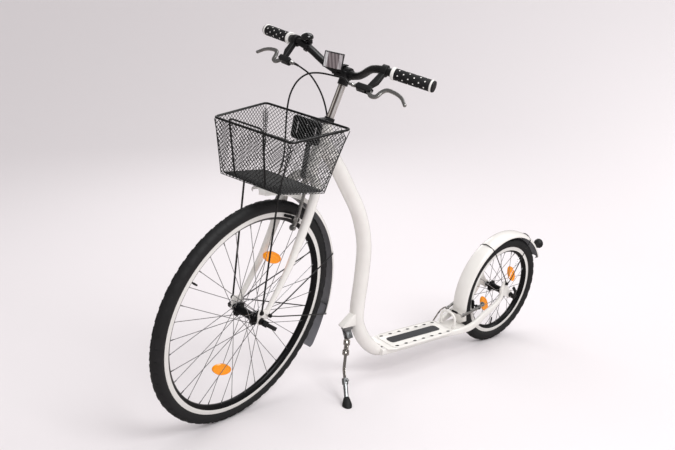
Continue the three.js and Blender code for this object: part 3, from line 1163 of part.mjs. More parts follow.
// A mesh draws its solid in the frame of the group that holds it
function meshOf({ name, solid, material }, toGroup) {
  const data = solid.transform(toGroup.elements).getMesh();
  const geometry = new THREE.BufferGeometry();
  geometry.setAttribute("position", new THREE.BufferAttribute(new Float32Array(data.vertProperties), 3));
  geometry.setIndex(new THREE.BufferAttribute(new Uint32Array(data.triVerts), 1));
  geometry.computeVertexNormals();
  const mesh = new THREE.Mesh(geometry, material);
  mesh.name = name;
  return mesh;
}

// A body turns about the X axis of its own frame
function body(frame, pieces, parentFrame = new THREE.Matrix4()) {
  const group = new THREE.Group();
  const toGroup = frame.clone().invert();
  group.add(...pieces.map((entry) => meshOf(entry, toGroup)));
  const local = parentFrame.clone().invert().multiply(frame);
  local.decompose(group.position, group.quaternion, group.scale);
  return group;
}

const plain = new THREE.Matrix4();
const wheelPieces = (end, wheel, lacing, half, distance, angle) => [
  piece(`${end}_tyre`, tyreSolid(wheel), rubber),
  piece(`${end}_rim`, rimSolid(wheel, angle + 90), alloy),
  piece(`${end}_hub`, hubSolid(wheel, lacing, half), blackPaint),
  piece(`${end}_wheel_reflector_upper`, spokeReflector(wheel, lacing, distance, angle), amber),
  piece(`${end}_wheel_reflector_lower`, spokeReflector(wheel, lacing, distance, angle + 180), amber),
];
const wheelBody = (centre, pieces) => body(plain, pieces).translateX(centre.x).translateY(centre.y)
  .translateZ(centre.z);

const frontWheelBody = wheelBody(frontCentre, wheelPieces("front", frontWheel, frontLacing,
  frontTip.at - frontTip.half - gap, wheelReflector.frontAt, reflectorAngles.front));
const rearWheelBody = wheelBody(rearCentre, wheelPieces("rear", rearWheel, rearLacing,
  rail.tail - dropout.half - gap, wheelReflector.rearAt, reflectorAngles.rear));

const steering = body(plain, [
  piece("fork", forkSolid(), whitePaint),
  piece("stem_post", stemPostSolid(), chrome),
  piece("stem_clamp", stemClampSolid(), blackPaint),
  piece("handlebar", tilted(handlebarSolid()), blackPaint),
  piece("left_grip", tilted(leftGrip), rubber),
  piece("right_grip", tilted(mirrored(leftGrip)), rubber),
  piece("left_lever_bracket", tilted(leftControl), blackPlastic),
  piece("right_lever_bracket", tilted(mirrored(leftControl)), blackPlastic),
  piece("bell", tilted(bellSolid()), blackPaint),
  piece("handlebar_reflector", tilted(barReflectorSolid()), clearLens),
  piece("basket_front", basketFrontSolid(), blackPaint),
  piece("basket_back", wall(2, 1), blackPaint),
  piece("basket_left", wall(1, 0), blackPaint),
  piece("basket_right", wall(3, 2), blackPaint),
  piece("basket_floor", basketFloorSolid(), blackPaint),
  piece("basket_rim", basketRimSolid(), blackPaint),
  piece("basket_bracket", basketBracketSolid(), blackPlastic),
  piece("basket_stay_left", basketStaySolid(1), blackPaint),
  piece("basket_stay_right", basketStaySolid(-1), blackPaint),
  piece("front_fender", frontGuardSolid(), whitePaint),
  piece("front_stay_upper", frontStaySolid(frontStayAngles.upper, 0), blackPaint),
  piece("front_stay_lower", frontStaySolid(frontStayAngles.lower, 1), blackPaint),
  piece("front_axle", axleSolid(frontCentre, frontOutside), blackPaint),
  piece("front_brake_cable", brakeCableSolid(tiltedPoint(nozzleEnd), frontCableRoute, frontNoodleRoute, frontPivot,
    frontArmWay, 24), blackPlastic),
]);

const onTiltedBar = (frame) => frame.premultiply(barTurn);
steering.add(
  frontWheelBody,
  body(onTiltedBar(aim(leverPivot, pullAxis, unitZ)), [piece("left_lever", tilted(leftLever), alloy)]),
  body(onTiltedBar(aim(rightOf(leverPivot), rightPull, unitZ)),
    [piece("right_lever", tilted(mirrored(leftLever)), alloy)]),
  body(aim(frontPivot, frontPinWay, unitX), [piece("front_left_arm", frontArm, alloy)]),
  body(aim(rightOf(frontPivot), frontPinWay.clone().negate(), unitX),
    [piece("front_right_arm", mirrored(frontArm), alloy)]),
  body(onTiltedBar(aim(bellBase, bellWay, unitX)),
    [piece("bell_lever", tilted(bellLeverSolid()), blackPlastic)]),
  body(aim(releasePivot(frontCentre, frontOutside), radial(releaseAngles.front + 90), unitX),
    [piece("front_qr_lever", releaseSolid(releasePivot(frontCentre, frontOutside), releaseAngles.front),
      blackPaint)]),
);

// The front end turns about the steering axis
const turnGroup = new THREE.Group();
turnGroup.position.copy(onAxis(head.low));
turnGroup.quaternion.setFromAxisAngle(axis, rad(steerAngle));
steering.position.copy(onAxis(head.low).negate());
turnGroup.add(steering);

// Rest pose: leaned onto the stand, with both tyres on the ground
function lowest(object, frame) {
  const place = frame.clone().multiply(object.matrixWorld);
  const positions = object.geometry.getAttribute("position");
  let low = Infinity;
  for (let i = 0; i < positions.count; i += 1) {
    low = Math.min(low, V(0, 0, 0).fromBufferAttribute(positions, i).applyMatrix4(place).z);
  }
  return low;
}

function restFrame() {
  turnGroup.updateMatrixWorld(true);
  rearWheelBody.updateMatrixWorld(true);
  const frameFor = (pitch) => new THREE.Matrix4().makeRotationY(rad(leanAngle))
    .multiply(new THREE.Matrix4().makeRotationX(pitch));
  const frontTyre = frontWheelBody.children[0];
  const rearTyre = rearWheelBody.children[0];
  let pitch = 0;
  for (let pass = 0; pass < 6; pass += 1) {
    const frame = frameFor(pitch);
    pitch += (lowest(frontTyre, frame) - lowest(rearTyre, frame)) / wheelbase;
  }
  const frame = frameFor(pitch);
  return frame.premultiply(at(0, 0, -lowest(rearTyre, frame)));
}
const rest = restFrame();

// The stand's tube is as long as it takes for the foot to meet the ground
const toBike = rest.clone().invert();
const downInBike = V(0, 0, -1).transformDirection(toBike);
const groundBlock = block(toBike.clone().multiply(at(0, bendPlace.y, -wheelbase / 2)), wheelbase / 2, wheelbase / 2,
  wheelbase / 2);
const standLength = standBend.at + bendPlace.clone().applyMatrix4(rest).z / lowerWay.dot(downInBike);
const standBody = body(aim(standPivot, standAxis, unitZ), [
  piece("stand_leg", standLegSolid(), chrome),
  piece("stand_extension", standTubeSolid(standLength), zinc),
  piece("stand_foot", standFootSolid(standLength, groundBlock), rubber),
]);

const frame = body(plain, [
  piece("head_tube", headTubeSolid(), whitePaint),
  piece("main_tube", mainTubeSolid(), whitePaint),
  piece("left_rail", leftRail, whitePaint),
  piece("right_rail", mirrored(leftRail), whitePaint),
  piece("deck_plate", deckSolid(), whitePaint),
  piece("grip_strip", gripStripSolid(), grit),
  piece("heel_hoop", heelHoopSolid(), whitePaint),
  piece("rear_fender", rearGuardSolid(), whitePaint),
  piece("rear_stay_front", rearStaySolid(rearStayAngles.front, 0), blackPaint),
  piece("rear_stay_back", rearStaySolid(rearStayAngles.back, 1), blackPaint),
  piece("tail_reflector", tailReflectorSolid(), darkLens),
  piece("stand_head", standHeadSolid(), zinc),
  piece("rear_axle", axleSolid(rearCentre, rearOutside), blackPaint),
  piece("rear_brake_cable", brakeCableSolid(tiltedPoint(rightOf(nozzleEnd)), rearCableRoute, rearCableRoute.slice(-3),
    rearPivot, rearArmWay, 44), blackPlastic),
]);
frame.add(
  turnGroup,
  standBody,
  rearWheelBody,
  body(aim(rearPivot, rearPinWay, unitX), [piece("rear_left_arm", rearArm, alloy)]),
  body(aim(rightOf(rearPivot), rearPinWay.clone().negate(), unitX),
    [piece("rear_right_arm", mirrored(rearArm), alloy)]),
  body(aim(releasePivot(rearCentre, rearOutside), radial(releaseAngles.rear + 90), unitX),
    [piece("rear_qr_lever", releaseSolid(releasePivot(rearCentre, rearOutside), releaseAngles.rear),
      blackPaint)]),
);
rest.decompose(frame.position, frame.quaternion, frame.scale);

// The bike stands with the middle of its box over the origin
const kickBike = new THREE.Group();
kickBike.add(frame);
kickBike.updateMatrixWorld(true);
const middle = new THREE.Box3().setFromObject(kickBike, true).getCenter(V(0, 0, 0));
kickBike.position.set(-middle.x, -middle.y, 0);

export default kickBike;
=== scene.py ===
"""Looks of a kick bike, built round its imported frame.

The CAD nodes give every place. New pieces are modelled in the kick bike's own upright frame, in metres,
and are then laid into the leaned and steered position in which it stands.
"""

import json
import math

import bmesh
import bpy
from mathutils import Matrix, Vector

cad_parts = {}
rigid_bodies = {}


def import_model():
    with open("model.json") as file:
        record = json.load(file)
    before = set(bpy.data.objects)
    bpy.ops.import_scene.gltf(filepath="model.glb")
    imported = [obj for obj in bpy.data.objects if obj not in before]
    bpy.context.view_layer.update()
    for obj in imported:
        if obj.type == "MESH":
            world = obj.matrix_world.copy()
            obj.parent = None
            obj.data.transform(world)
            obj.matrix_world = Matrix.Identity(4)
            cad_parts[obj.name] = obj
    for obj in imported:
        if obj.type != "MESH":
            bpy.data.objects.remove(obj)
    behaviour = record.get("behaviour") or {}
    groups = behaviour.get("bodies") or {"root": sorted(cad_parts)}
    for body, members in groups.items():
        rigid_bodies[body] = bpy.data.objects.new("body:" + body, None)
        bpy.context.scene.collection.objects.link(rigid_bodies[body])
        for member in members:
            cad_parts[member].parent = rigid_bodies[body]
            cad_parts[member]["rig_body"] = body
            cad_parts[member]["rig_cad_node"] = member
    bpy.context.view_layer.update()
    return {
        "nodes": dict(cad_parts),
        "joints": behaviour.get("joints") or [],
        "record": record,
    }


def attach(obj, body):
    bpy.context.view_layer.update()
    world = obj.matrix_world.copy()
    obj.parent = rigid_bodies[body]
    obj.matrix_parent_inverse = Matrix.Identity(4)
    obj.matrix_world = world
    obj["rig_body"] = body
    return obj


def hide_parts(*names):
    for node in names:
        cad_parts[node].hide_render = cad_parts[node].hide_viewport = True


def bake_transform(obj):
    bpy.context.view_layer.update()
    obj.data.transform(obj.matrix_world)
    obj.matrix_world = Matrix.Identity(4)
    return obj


bl_info = {
    "name": "Kick bike looks",
    "version": (1, 0, 0),
    "blender": (4, 5, 0),
    "location": "View3D > Sidebar > Kick bike",
    "description": "Models and finishes the pieces of a kick bike round its frame",
    "category": "Object",
}

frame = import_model()
NODES = frame["nodes"]
JOINTS = {joint["name"]: joint for joint in frame["joints"]}
BODY_OF = {node: body for body, nodes in frame["record"]["behaviour"]["bodies"].items() for node in nodes}
SLOT_OF = {part["node"]: part["material_slot"] for part in frame["record"]["subparts"]}
MM = 0.001

# Overall sizes of the kick bike, in millimetres and degrees
WHEELBASE = 1264
HEAD_ANGLE = 73.4
FRONT_RADIUS = 349
REAR_RADIUS = 221


def upright(wheel_joint, steering_joint, hub_y, hub_z):
    """The upright frame, found from a wheel's axle and the steering axis."""
    side = Vector(JOINTS[wheel_joint]["axis"]).normalized()
    steering = Vector(JOINTS[steering_joint]["axis"]).normalized()
    across = side.cross(steering)
    angle = math.radians(HEAD_ANGLE)
    back = steering * math.cos(angle) - across * math.sin(angle)
    up = steering * math.sin(angle) + across * math.cos(angle)
    origin = Vector(JOINTS[wheel_joint]["pos_m"]) - back * hub_y * MM - up * hub_z * MM
    placed = Matrix((side, back, up)).transposed().to_4x4()
    placed.translation = origin
    return placed


FRAME = upright("rear_wheel_spin", "steering_turn", WHEELBASE, REAR_RADIUS)
FRONT = upright("front_wheel_spin", "steering_turn", 0, FRONT_RADIUS)


class KickBikeSizes(bpy.types.PropertyGroup):
    """Sizes that a user would change."""

    edge: bpy.props.FloatProperty(
        name="Edge radius", description="Rounding of the edges of metal pieces", default=0.5 * MM, unit="LENGTH"
    )
    tread_depth: bpy.props.FloatProperty(
        name="Tread depth", description="Height of the lugs on the tyres", default=1.1 * MM, unit="LENGTH"
    )
    net_wire: bpy.props.FloatProperty(
        name="Net wire", description="Width of the basket's strands", default=2.3 * MM, unit="LENGTH"
    )
    net_cell: bpy.props.FloatProperty(
        name="Net cell", description="Height of the basket's diamonds", default=13.5 * MM, unit="LENGTH"
    )
    dot: bpy.props.FloatProperty(
        name="Grip dot", description="Radius of the white dots on the grips", default=1.9 * MM, unit="LENGTH"
    )


def colour_property(name, description, value):
    """A colour written as it is seen, as red, green and blue shares of 255 in hex."""
    return bpy.props.StringProperty(name=name, description=description, default=value)


class KickBikeColours(bpy.types.PropertyGroup):
    """Colours that a user would change, as hex values."""

    enamel: colour_property("Enamel", "Gloss enamel of the frame, fork and fenders", "#f2f0ec")
    powder: colour_property("Powder coat", "Black powder coat of the bar and basket", "#0e0e0f")
    plastic: colour_property("Plastic", "Black moulded plastic", "#111112")
    rubber: colour_property("Rubber", "Tyres and grips", "#161617")
    alloy: colour_property("Alloy", "Polished aluminium", "#b4b3b1")
    amber: colour_property("Amber", "Reflectors in the wheels", "#ff9d00")
    floor: colour_property("Floor", "Studio floor and backdrop", "#e6e2e4")


# Modelling tools
SMOOTH_ANGLE = 38
EDGE_ANGLE = 40
FLAT_ANGLE = 2
MERGE_DISTANCE = 0.02 * MM
CURVE_STEPS = 24
BEND_STEPS = 6


def point(x, y, z):
    """A place in the upright frame, given in millimetres."""
    return Vector((x, y, z)) * MM


def deselect():
    """Clears the selection, so that an operator acts only on the new piece."""
    if bpy.context.object is not None and bpy.context.object.mode != "OBJECT":
        bpy.ops.object.mode_set(mode="OBJECT")
    bpy.ops.object.select_all(action="DESELECT")


def pick(*pieces):
    """Selects these pieces, the first one active."""
    deselect()
    for piece in pieces:
        piece.select_set(True)
    bpy.context.view_layer.objects.active = pieces[0]
    return pieces[0]


def aim(origin, direction, hint=Vector((0, 0, 1))):
    """A frame whose X axis points one way and whose Z axis stays near a second direction."""
    x = direction.normalized()
    y = hint.cross(x).normalized()
    rows = Matrix((x, y, x.cross(y))).transposed().to_4x4()
    return Matrix.Translation(origin) @ rows


def through(places, steps):
    """Points spaced evenly on a smooth curve through the places."""
    curve = [places[0] * 2 - places[1], *places, places[-1] * 2 - places[-2]]
    fine = []
    for before, here, there, after in zip(curve, curve[1:], curve[2:], curve[3:]):
        knots = [0]
        for a, b in ((before, here), (here, there), (there, after)):
            knots.append(knots[-1] + max((b - a).length, 1e-7) ** 0.5)
        for i in range(CURVE_STEPS):
            t = knots[1] + (knots[2] - knots[1]) * i / CURVE_STEPS
            fine.append(blended((before, here, there, after), knots, t))
    fine.append(places[-1])
    lengths = [0]
    for a, b in zip(fine, fine[1:]):
        lengths.append(lengths[-1] + (b - a).length)
    spaced, k = [], 0
    for i in range(steps + 1):
        goal = lengths[-1] * i / steps
        while k < len(fine) - 2 and lengths[k + 1] < goal:
            k += 1
        span = max(lengths[k + 1] - lengths[k], 1e-9)
        spaced.append(fine[k].lerp(fine[k + 1], min(1, (goal - lengths[k]) / span)))
    return spaced


def blended(points, knots, t):
    """The point at t on the curve that passes the two middle points of four."""
    level = list(points)
    for spans in (((0, 1), (1, 2), (2, 3)), ((0, 2), (1, 3)), ((1, 2),)):
        level = [
            a.lerp(b, (t - knots[low]) / (knots[high] - knots[low]))
            for (a, b), (low, high) in zip(zip(level, level[1:]), spans)
        ]
    return level[0]


def smooth(piece, angle=SMOOTH_ANGLE):
    """Shades round forms smooth and keeps edges sharper than the angle."""
    pick(piece)
    bpy.ops.object.shade_smooth_by_angle(angle=math.radians(angle))
    return piece


def apply_modifiers(piece):
    """Applies every modifier in order."""
    pick(piece)
    for modifier in [m.name for m in piece.modifiers]:
        bpy.ops.object.modifier_apply(modifier=modifier)
    return piece


def round_edges(piece, width, segments=2):
    """Rounds the sharp edges as a deburred part has them."""
    bevel = piece.modifiers.new("round", "BEVEL")
    bevel.width = width
    bevel.segments = segments
    bevel.limit_method = "ANGLE"
    bevel.angle_limit = math.radians(EDGE_ANGLE)
    bevel.harden_normals = False
    return apply_modifiers(piece)


def tidy_normals(piece):
    """Merges doubles and turns every face outwards."""
    pick(piece)
    bpy.ops.object.mode_set(mode="EDIT")
    bpy.ops.mesh.select_all(action="SELECT")
    bpy.ops.mesh.remove_doubles(threshold=MERGE_DISTANCE)
    bpy.ops.mesh.normals_make_consistent(inside=False)
    bpy.ops.object.mode_set(mode="OBJECT")
    return piece


def draw_line(points, closed=False):
    """A run of edges, drawn vertex after vertex. It leaves the piece in edit mode."""
    deselect()
    bpy.ops.mesh.primitive_plane_add(size=MM, location=(0, 0, 0))
    piece = bpy.context.object
    bpy.ops.object.mode_set(mode="EDIT")
    bpy.ops.mesh.merge(type="CENTER")
    bpy.ops.transform.translate(value=points[0])
    for here, there in zip(points, points[1:]):
        bpy.ops.mesh.extrude_region_move(TRANSFORM_OT_translate={"value": there - here})
    if closed:
        bpy.ops.mesh.select_all(action="SELECT")
        bpy.ops.mesh.edge_face_add()
    return piece


def turned(profile, place=Matrix.Identity(4), segments=64):
    """A turned form about the X axis of a frame, from [radius, place] pairs in millimetres."""
    piece = draw_line([point(along, 0, radius) for radius, along in profile])
    bpy.ops.mesh.select_all(action="SELECT")
    bpy.ops.mesh.spin(steps=segments, angle=math.tau, center=(0, 0, 0), axis=(1, 0, 0))
    bpy.ops.object.mode_set(mode="OBJECT")
    tidy_normals(piece)
    piece.matrix_world = place
    return smooth(piece)


def wire_along(course, radius, sides=12, cyclic=False, radii=None):
    """A round wire through every place of a course. Shares in radii thin it along its length."""
    deselect()
    data = bpy.data.curves.new("wire", "CURVE")
    data.dimensions = "3D"
    data.bevel_depth = radius * MM
    data.bevel_resolution = max(0, sides // 4 - 1)
    data.use_fill_caps = not cyclic
    line = data.splines.new("POLY")
    line.points.add(len(course) - 1)
    line.use_cyclic_u = cyclic
    for i, (entry, place) in enumerate(zip(line.points, course)):
        entry.co = (*place, 1)
        entry.radius = radii(i / (len(course) - 1)) if radii else 1
    piece = bpy.data.objects.new("wire", data)
    bpy.context.scene.collection.objects.link(piece)
    pick(piece)
    bpy.ops.object.convert(target="MESH")
    return smooth(tidy_normals(bpy.context.object))


def pipe(places, radius, steps, sides=24, radii=None):
    """A round bar along a smooth curve through the places."""
    return wire_along(through(places, steps), radius, sides, radii=radii)


def bend(start, corner, end, steps):
    """Points on the curve that rounds a corner."""
    shares = [i / steps for i in range(steps + 1)]
    return [start * (1 - t) ** 2 + corner * 2 * t * (1 - t) + end * t ** 2 for t in shares]


def rounded_wire(places, radius, trimmed):
    """A wire that runs straight between places and is bent at each, over a trimmed length in millimetres."""
    course = [places[0]]
    for before, here, after in zip(places, places[1:], places[2:]):
        a, b = before - here, after - here
        trim = min(trimmed * MM, a.length * 0.45, b.length * 0.45)
        course += bend(here + a.normalized() * trim, here, here + b.normalized() * trim, BEND_STEPS)
    return wire_along([*course, places[-1]], radius)


def rounded_loop(corners, radius, steps=8):
    """A closed course through corners that are rounded."""
    course = []
    for i, here in enumerate(corners):
        start = here + (corners[i - 1] - here).normalized() * radius * MM
        end = here + (corners[(i + 1) % len(corners)] - here).normalized() * radius * MM
        course += bend(start, here, end, steps)
    return course


def opposite(places):
    """The places on the other side of the kick bike, in reverse order."""
    return [Vector((-place.x, place.y, place.z)) for place in reversed(places)]


def rings_along(places, steps, section_at, side=Vector((1, 0, 0))):
    """Rings of a section that changes along a curve, kept level by a side direction."""
    points = through(places, steps)
    rings = []
    for i, place in enumerate(points):
        tangent = (points[min(i + 1, steps)] - points[max(i - 1, 0)]).normalized()
        across = (side - tangent * side.dot(tangent)).normalized()
        up = across.cross(tangent).normalized()
        rings.append([place + across * x * MM + up * y * MM for x, y in section_at(i / steps)])
    return rings


def swept(rings):
    """A form through rings of points: one ring is drawn and then extruded from place to place."""
    piece = draw_line(rings[0], closed=True)
    mesh = bmesh.from_edit_mesh(piece.data)
    order = [min(range(len(rings[0])), key=lambda i: (rings[0][i] - v.co).length_squared) for v in mesh.verts]
    for ring in rings[1:]:
        bpy.ops.mesh.extrude_region_move()
        mesh = bmesh.from_edit_mesh(piece.data)
        moved = [v for v in mesh.verts if v.select]
        for place, vertex in zip([ring[k] for k in order], moved):
            vertex.co = place
        bmesh.update_edit_mesh(piece.data)
    bpy.ops.object.mode_set(mode="OBJECT")
    tidy_normals(piece)
    return smooth(piece)


def plate(outline, half, place=Matrix.Identity(4)):
    """A flat plate: an outline in its own plane, in millimetres, thickened to both sides."""
    piece = draw_line([point(x, y, -half) for x, y in outline], closed=True)
    bpy.ops.mesh.extrude_region_move(TRANSFORM_OT_translate={"value": (0, 0, 2 * half * MM)})
    bpy.ops.object.mode_set(mode="OBJECT")
    tidy_normals(piece)
    piece.matrix_world = place
    return piece


def rod(start, end, radius, sides=24, end_radius=None):
    """A straight round bar between two places, tapered when a second radius is given."""
    deselect()
    direction = end - start
    bpy.ops.mesh.primitive_cone_add(
        vertices=sides, radius1=radius * MM, radius2=(radius if end_radius is None else end_radius) * MM,
        depth=direction.length, location=(start + end) / 2,
        rotation=direction.to_track_quat("Z", "Y").to_euler(),
    )
    return smooth(bpy.context.object)


def pin(middle, way, half, radius, sides):
    """A straight round bar centred on a place, given by its half length in millimetres."""
    return rod(middle - way * half * MM, middle + way * half * MM, radius, sides)


def block(place, half_x, half_y, half_z):
    """A box centred in a frame, given by half sizes in millimetres."""
    deselect()
    bpy.ops.mesh.primitive_cube_add(size=2)
    piece = bpy.context.object
    piece.matrix_world = place @ Matrix.Diagonal((half_x * MM, half_y * MM, half_z * MM, 1))
    bpy.ops.object.transform_apply()
    return piece


def joined(*pieces):
    """Several forms as one piece."""
    pick(*pieces)
    if len(pieces) > 1:
        bpy.ops.object.join()
    return bpy.context.object


def mirror_copy(piece):
    """A mirrored copy on the other side of the kick bike, with its own mesh."""
    bpy.context.view_layer.update()
    copy = piece.copy()
    copy.data = piece.data.copy()
    bpy.context.scene.collection.objects.link(copy)
    copy.data.transform(Matrix.Diagonal((-1, 1, 1, 1)) @ piece.matrix_world)
    copy.matrix_world = Matrix.Identity(4)
    return tidy_normals(copy)


def laid(piece, name, place, finish):
    """Lays a modelled piece into the kick bike, under its name and with its finish."""
    bpy.context.view_layer.update()
    piece.name = name
    piece.data.name = name
    piece.matrix_world = place @ piece.matrix_world
    pick(piece)
    bpy.ops.object.transform_apply(location=True, rotation=True, scale=True)
    if finish is not None:
        piece.data.materials.clear()
        piece.data.materials.append(finish)
    return piece


def finished(piece, name, place, body, finish, replaces=(), slot=None):
    """Lays a piece into the kick bike, says which body it rides and hides the nodes that it stands for."""
    laid(piece, name, place, finish)
    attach(piece, body)
    if replaces:
        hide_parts(*replaces)
        slot or SLOT_OF[replaces[0]]
    return piece


def dressed(node, finish):
    """A copy of a CAD node with merged faces and rounded edges, which stands for it."""
    deselect()
    copy = NODES[node].copy()
    copy.data = NODES[node].data.copy()
    copy.parent = None
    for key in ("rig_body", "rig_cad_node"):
        del copy[key]
    bpy.context.scene.collection.objects.link(copy)
    tidy_normals(copy)
    bpy.ops.object.mode_set(mode="EDIT")
    bpy.ops.mesh.select_all(action="SELECT")
    bpy.ops.mesh.dissolve_limited(angle_limit=math.radians(FLAT_ANGLE))
    bpy.ops.object.mode_set(mode="OBJECT")
    round_edges(copy, bpy.context.scene.kick_bike_sizes.edge)
    smooth(copy, EDGE_ANGLE)
    return finished(copy, node + "_finished", Matrix.Identity(4), BODY_OF[node], finish, [node])


# Materials
def linear(text):
    """An sRGB hex colour as linear red, green, blue and alpha."""
    shares = [int(text[i:i + 2], 16) / 255 for i in (1, 3, 5)]
    return [s / 12.92 if s <= 0.04045 else ((s + 0.055) / 1.055) ** 2.4 for s in shares] + [1]


def set_inputs(tree, made, values):
    """Sets a node's inputs to values, or links them to another node's output."""
    for key, value in values.items():
        if isinstance(value, bpy.types.NodeSocket):
            tree.links.new(value, made.inputs[key])
        else:
            made.inputs[key].default_value = value


def node(tree, kind, inputs=None, **settings):
    """Adds a node with its settings and inputs."""
    made = tree.nodes.new(kind)
    for key, value in settings.items():
        setattr(made, key, value)
    set_inputs(tree, made, inputs or {})
    return made


def new_material(name):
    """A material with a bare shader, and the object's own coordinates."""
    material = bpy.data.materials.new(name)
    material.use_nodes = True
    tree = material.node_tree
    shader = tree.nodes["Principled BSDF"]
    place = node(tree, "ShaderNodeTexCoord").outputs["Object"]
    return material, tree, shader, place


def mixed(tree, share, low, high):
    """A colour between two hex values."""
    inputs = {"Factor": share, "A": linear(low), "B": linear(high)}
    return node(tree, "ShaderNodeMix", inputs, data_type="RGBA").outputs["Result"]


def noise(tree, place, grain, detail):
    """A noise over patches of a size in millimetres."""
    inputs = {"Vector": place, "Scale": 1 / (grain * MM), "Detail": detail}
    return node(tree, "ShaderNodeTexNoise", inputs).outputs["Fac"]


def cells(tree, place, size, **settings):
    """The distance from the middle of cells of a size in millimetres."""
    inputs = {"Vector": place, "Scale": 1 / (size * MM)}
    return node(tree, "ShaderNodeTexVoronoi", inputs, **settings).outputs["Distance"]


def ranged(tree, value, low, high):
    """A noise value spread between two numbers."""
    return node(tree, "ShaderNodeMapRange", {"Value": value, "To Min": low, "To Max": high}).outputs["Result"]


def bump(tree, height, depth, strength):
    """A normal that lifts by a height in millimetres."""
    inputs = {"Height": height, "Distance": depth * MM, "Strength": strength}
    return node(tree, "ShaderNodeBump", inputs).outputs["Normal"]


def coat(name, colours, patch, gloss, values=None, grain=None, detail=3):
    """A coat whose colour and roughness drift over patches of a size in millimetres.

    A grain is given by its size in millimetres, its detail, its height in millimetres and its strength.
    """
    material, tree, shader, place = new_material(name)
    drift = noise(tree, place, patch, detail)
    inputs = {"Base Color": mixed(tree, drift, *colours), "Roughness": ranged(tree, drift, *gloss), **(values or {})}
    if grain is not None:
        size, fineness, height, strength = grain
        inputs["Normal"] = bump(tree, noise(tree, place, size, fineness), height, strength)
    set_inputs(tree, shader, inputs)
    return material


def chosen(key):
    """A colour that the user may have changed."""
    return getattr(bpy.context.scene.kick_bike_colours, key)


def gloss_enamel():
    """Sprayed enamel under clear lacquer: even, warm white, with a faint orange peel of 3 mm in its gloss."""
    return coat("gloss enamel", (chosen("enamel"), "#e6e3de"), 60, (0.2, 0.3),
                {"IOR": 1.5, "Coat Weight": 0.6, "Coat Roughness": 0.06}, (3, 1, 0.02, 0.25))


def powder_coat():
    """Baked powder on steel: black with a fine leathery grain of about a millimetre."""
    return coat("black powder coat", (chosen("powder"), "#151516"), 8, (0.3, 0.42), {"IOR": 1.5}, (1.1, 2, 0.05, 0.4))


def moulded_plastic():
    """Injection moulded nylon: black, satin, with a spark eroded grain."""
    return coat("moulded nylon", (chosen("plastic"), "#18181a"), 5, (0.42, 0.55), {"IOR": 1.5}, (0.7, 2, 0.04, 0.5))


def glossy_black():
    """Glossy black enamel of the bell."""
    return coat("gloss black enamel", ("#0b0b0c", "#111113"), 10, (0.1, 0.16), {"Coat Weight": 0.5})


def white_plastic():
    """Glossy moulded collars in white, slightly warm."""
    return coat("white acetal", ("#f0efec", "#e8e6e2"), 9, (0.28, 0.36), {"IOR": 1.48})


def tyre_rubber():
    """Vulcanised rubber: near black with a dusty bloom in patches and a fine moulded texture."""
    return coat("vulcanised rubber", (chosen("rubber"), "#1f1f21"), 26, (0.55, 0.72), {"IOR": 1.5},
                (1.3, 3, 0.12, 0.6), 5)


def grip_rubber():
    """Soft moulded rubber of the grips, matt and clean, with a pebbled grain."""
    material, tree, shader, place = new_material("soft grip rubber")
    drift = noise(tree, place, 6, 3)
    set_inputs(tree, shader, {
        "Base Color": mixed(tree, drift, "#121213", "#18181a"), "Roughness": ranged(tree, drift, 0.6, 0.75),
        "IOR": 1.5, "Normal": bump(tree, cells(tree, place, 1.2), 0.08, 0.5),
    })
    return material


def bright_metal(name, base, low, high, scratch=0.4, grain=0.6):
    """A metal face with fine scratches that widen its gloss."""
    material, tree, shader, place = new_material(name)
    stretch = node(tree, "ShaderNodeMapping", {"Vector": place, "Scale": (1, 1, 0.08)})
    lines = noise(tree, stretch.outputs["Vector"], grain, 2)
    set_inputs(tree, shader, {
        "Base Color": linear(base), "Metallic": 1.0, "Roughness": ranged(tree, lines, low, high),
        "Normal": bump(tree, lines, 0.01, scratch),
    })
    return material


def chrome_plate():
    """Chrome on nickel: almost a mirror."""
    return bright_metal("chrome plate", "#cfc9c3", 0.05, 0.12, 0.1)


def zinc_plate():
    """Bright zinc passivation, grey and cloudy."""
    return bright_metal("bright zinc", "#a9abad", 0.28, 0.42, 0.5, 2)


def forged_alloy():
    """Forged and tumbled aluminium with a soft polish."""
    return bright_metal("forged aluminium", chosen("alloy"), 0.22, 0.34, 0.4, 1)


def brake_track():
    """A machined rim wall with a silver sheen."""
    return coat("machined rim wall", ("#f0eeea", "#e4e2de"), 12, (0.3, 0.42), {"Metallic": 0.12})


def stainless():
    """Drawn stainless wire of the spokes."""
    return bright_metal("drawn stainless wire", "#b9babc", 0.18, 0.28, 0.2)


def black_anodised():
    """Black anodised aluminium: dark, with a satin metal sheen."""
    return coat("black anodised aluminium", ("#121214", "#19191b"), 6, (0.28, 0.38), {"Metallic": 0.6})


def cable_casing():
    """Extruded casing over wound steel: black and smooth."""
    return coat("extruded cable casing", ("#0e0e0f", "#151516"), 4, (0.35, 0.45), {"IOR": 1.5})


def amber_lens():
    """Moulded amber acrylic over corner prisms of 2.5 mm, with painted sparkle in facets and a faint painted glow."""
    material, tree, shader, place = new_material("amber acrylic")
    prism = cells(tree, place, 2.5, distance="CHEBYCHEV")
    # The colour goes lighter away from each prism's middle, a painted sparkle, and the faint emission is a painted
    # glow.
    set_inputs(tree, shader, {
        "Base Color": mixed(tree, prism, "#f08000", "#ffb400"), "Roughness": 0.12, "IOR": 1.49, "Coat Weight": 0.8,
        "Emission Color": linear("#ff9000"), "Emission Strength": 0.16, "Normal": bump(tree, prism, 0.5, 0.5),
    })
    return material


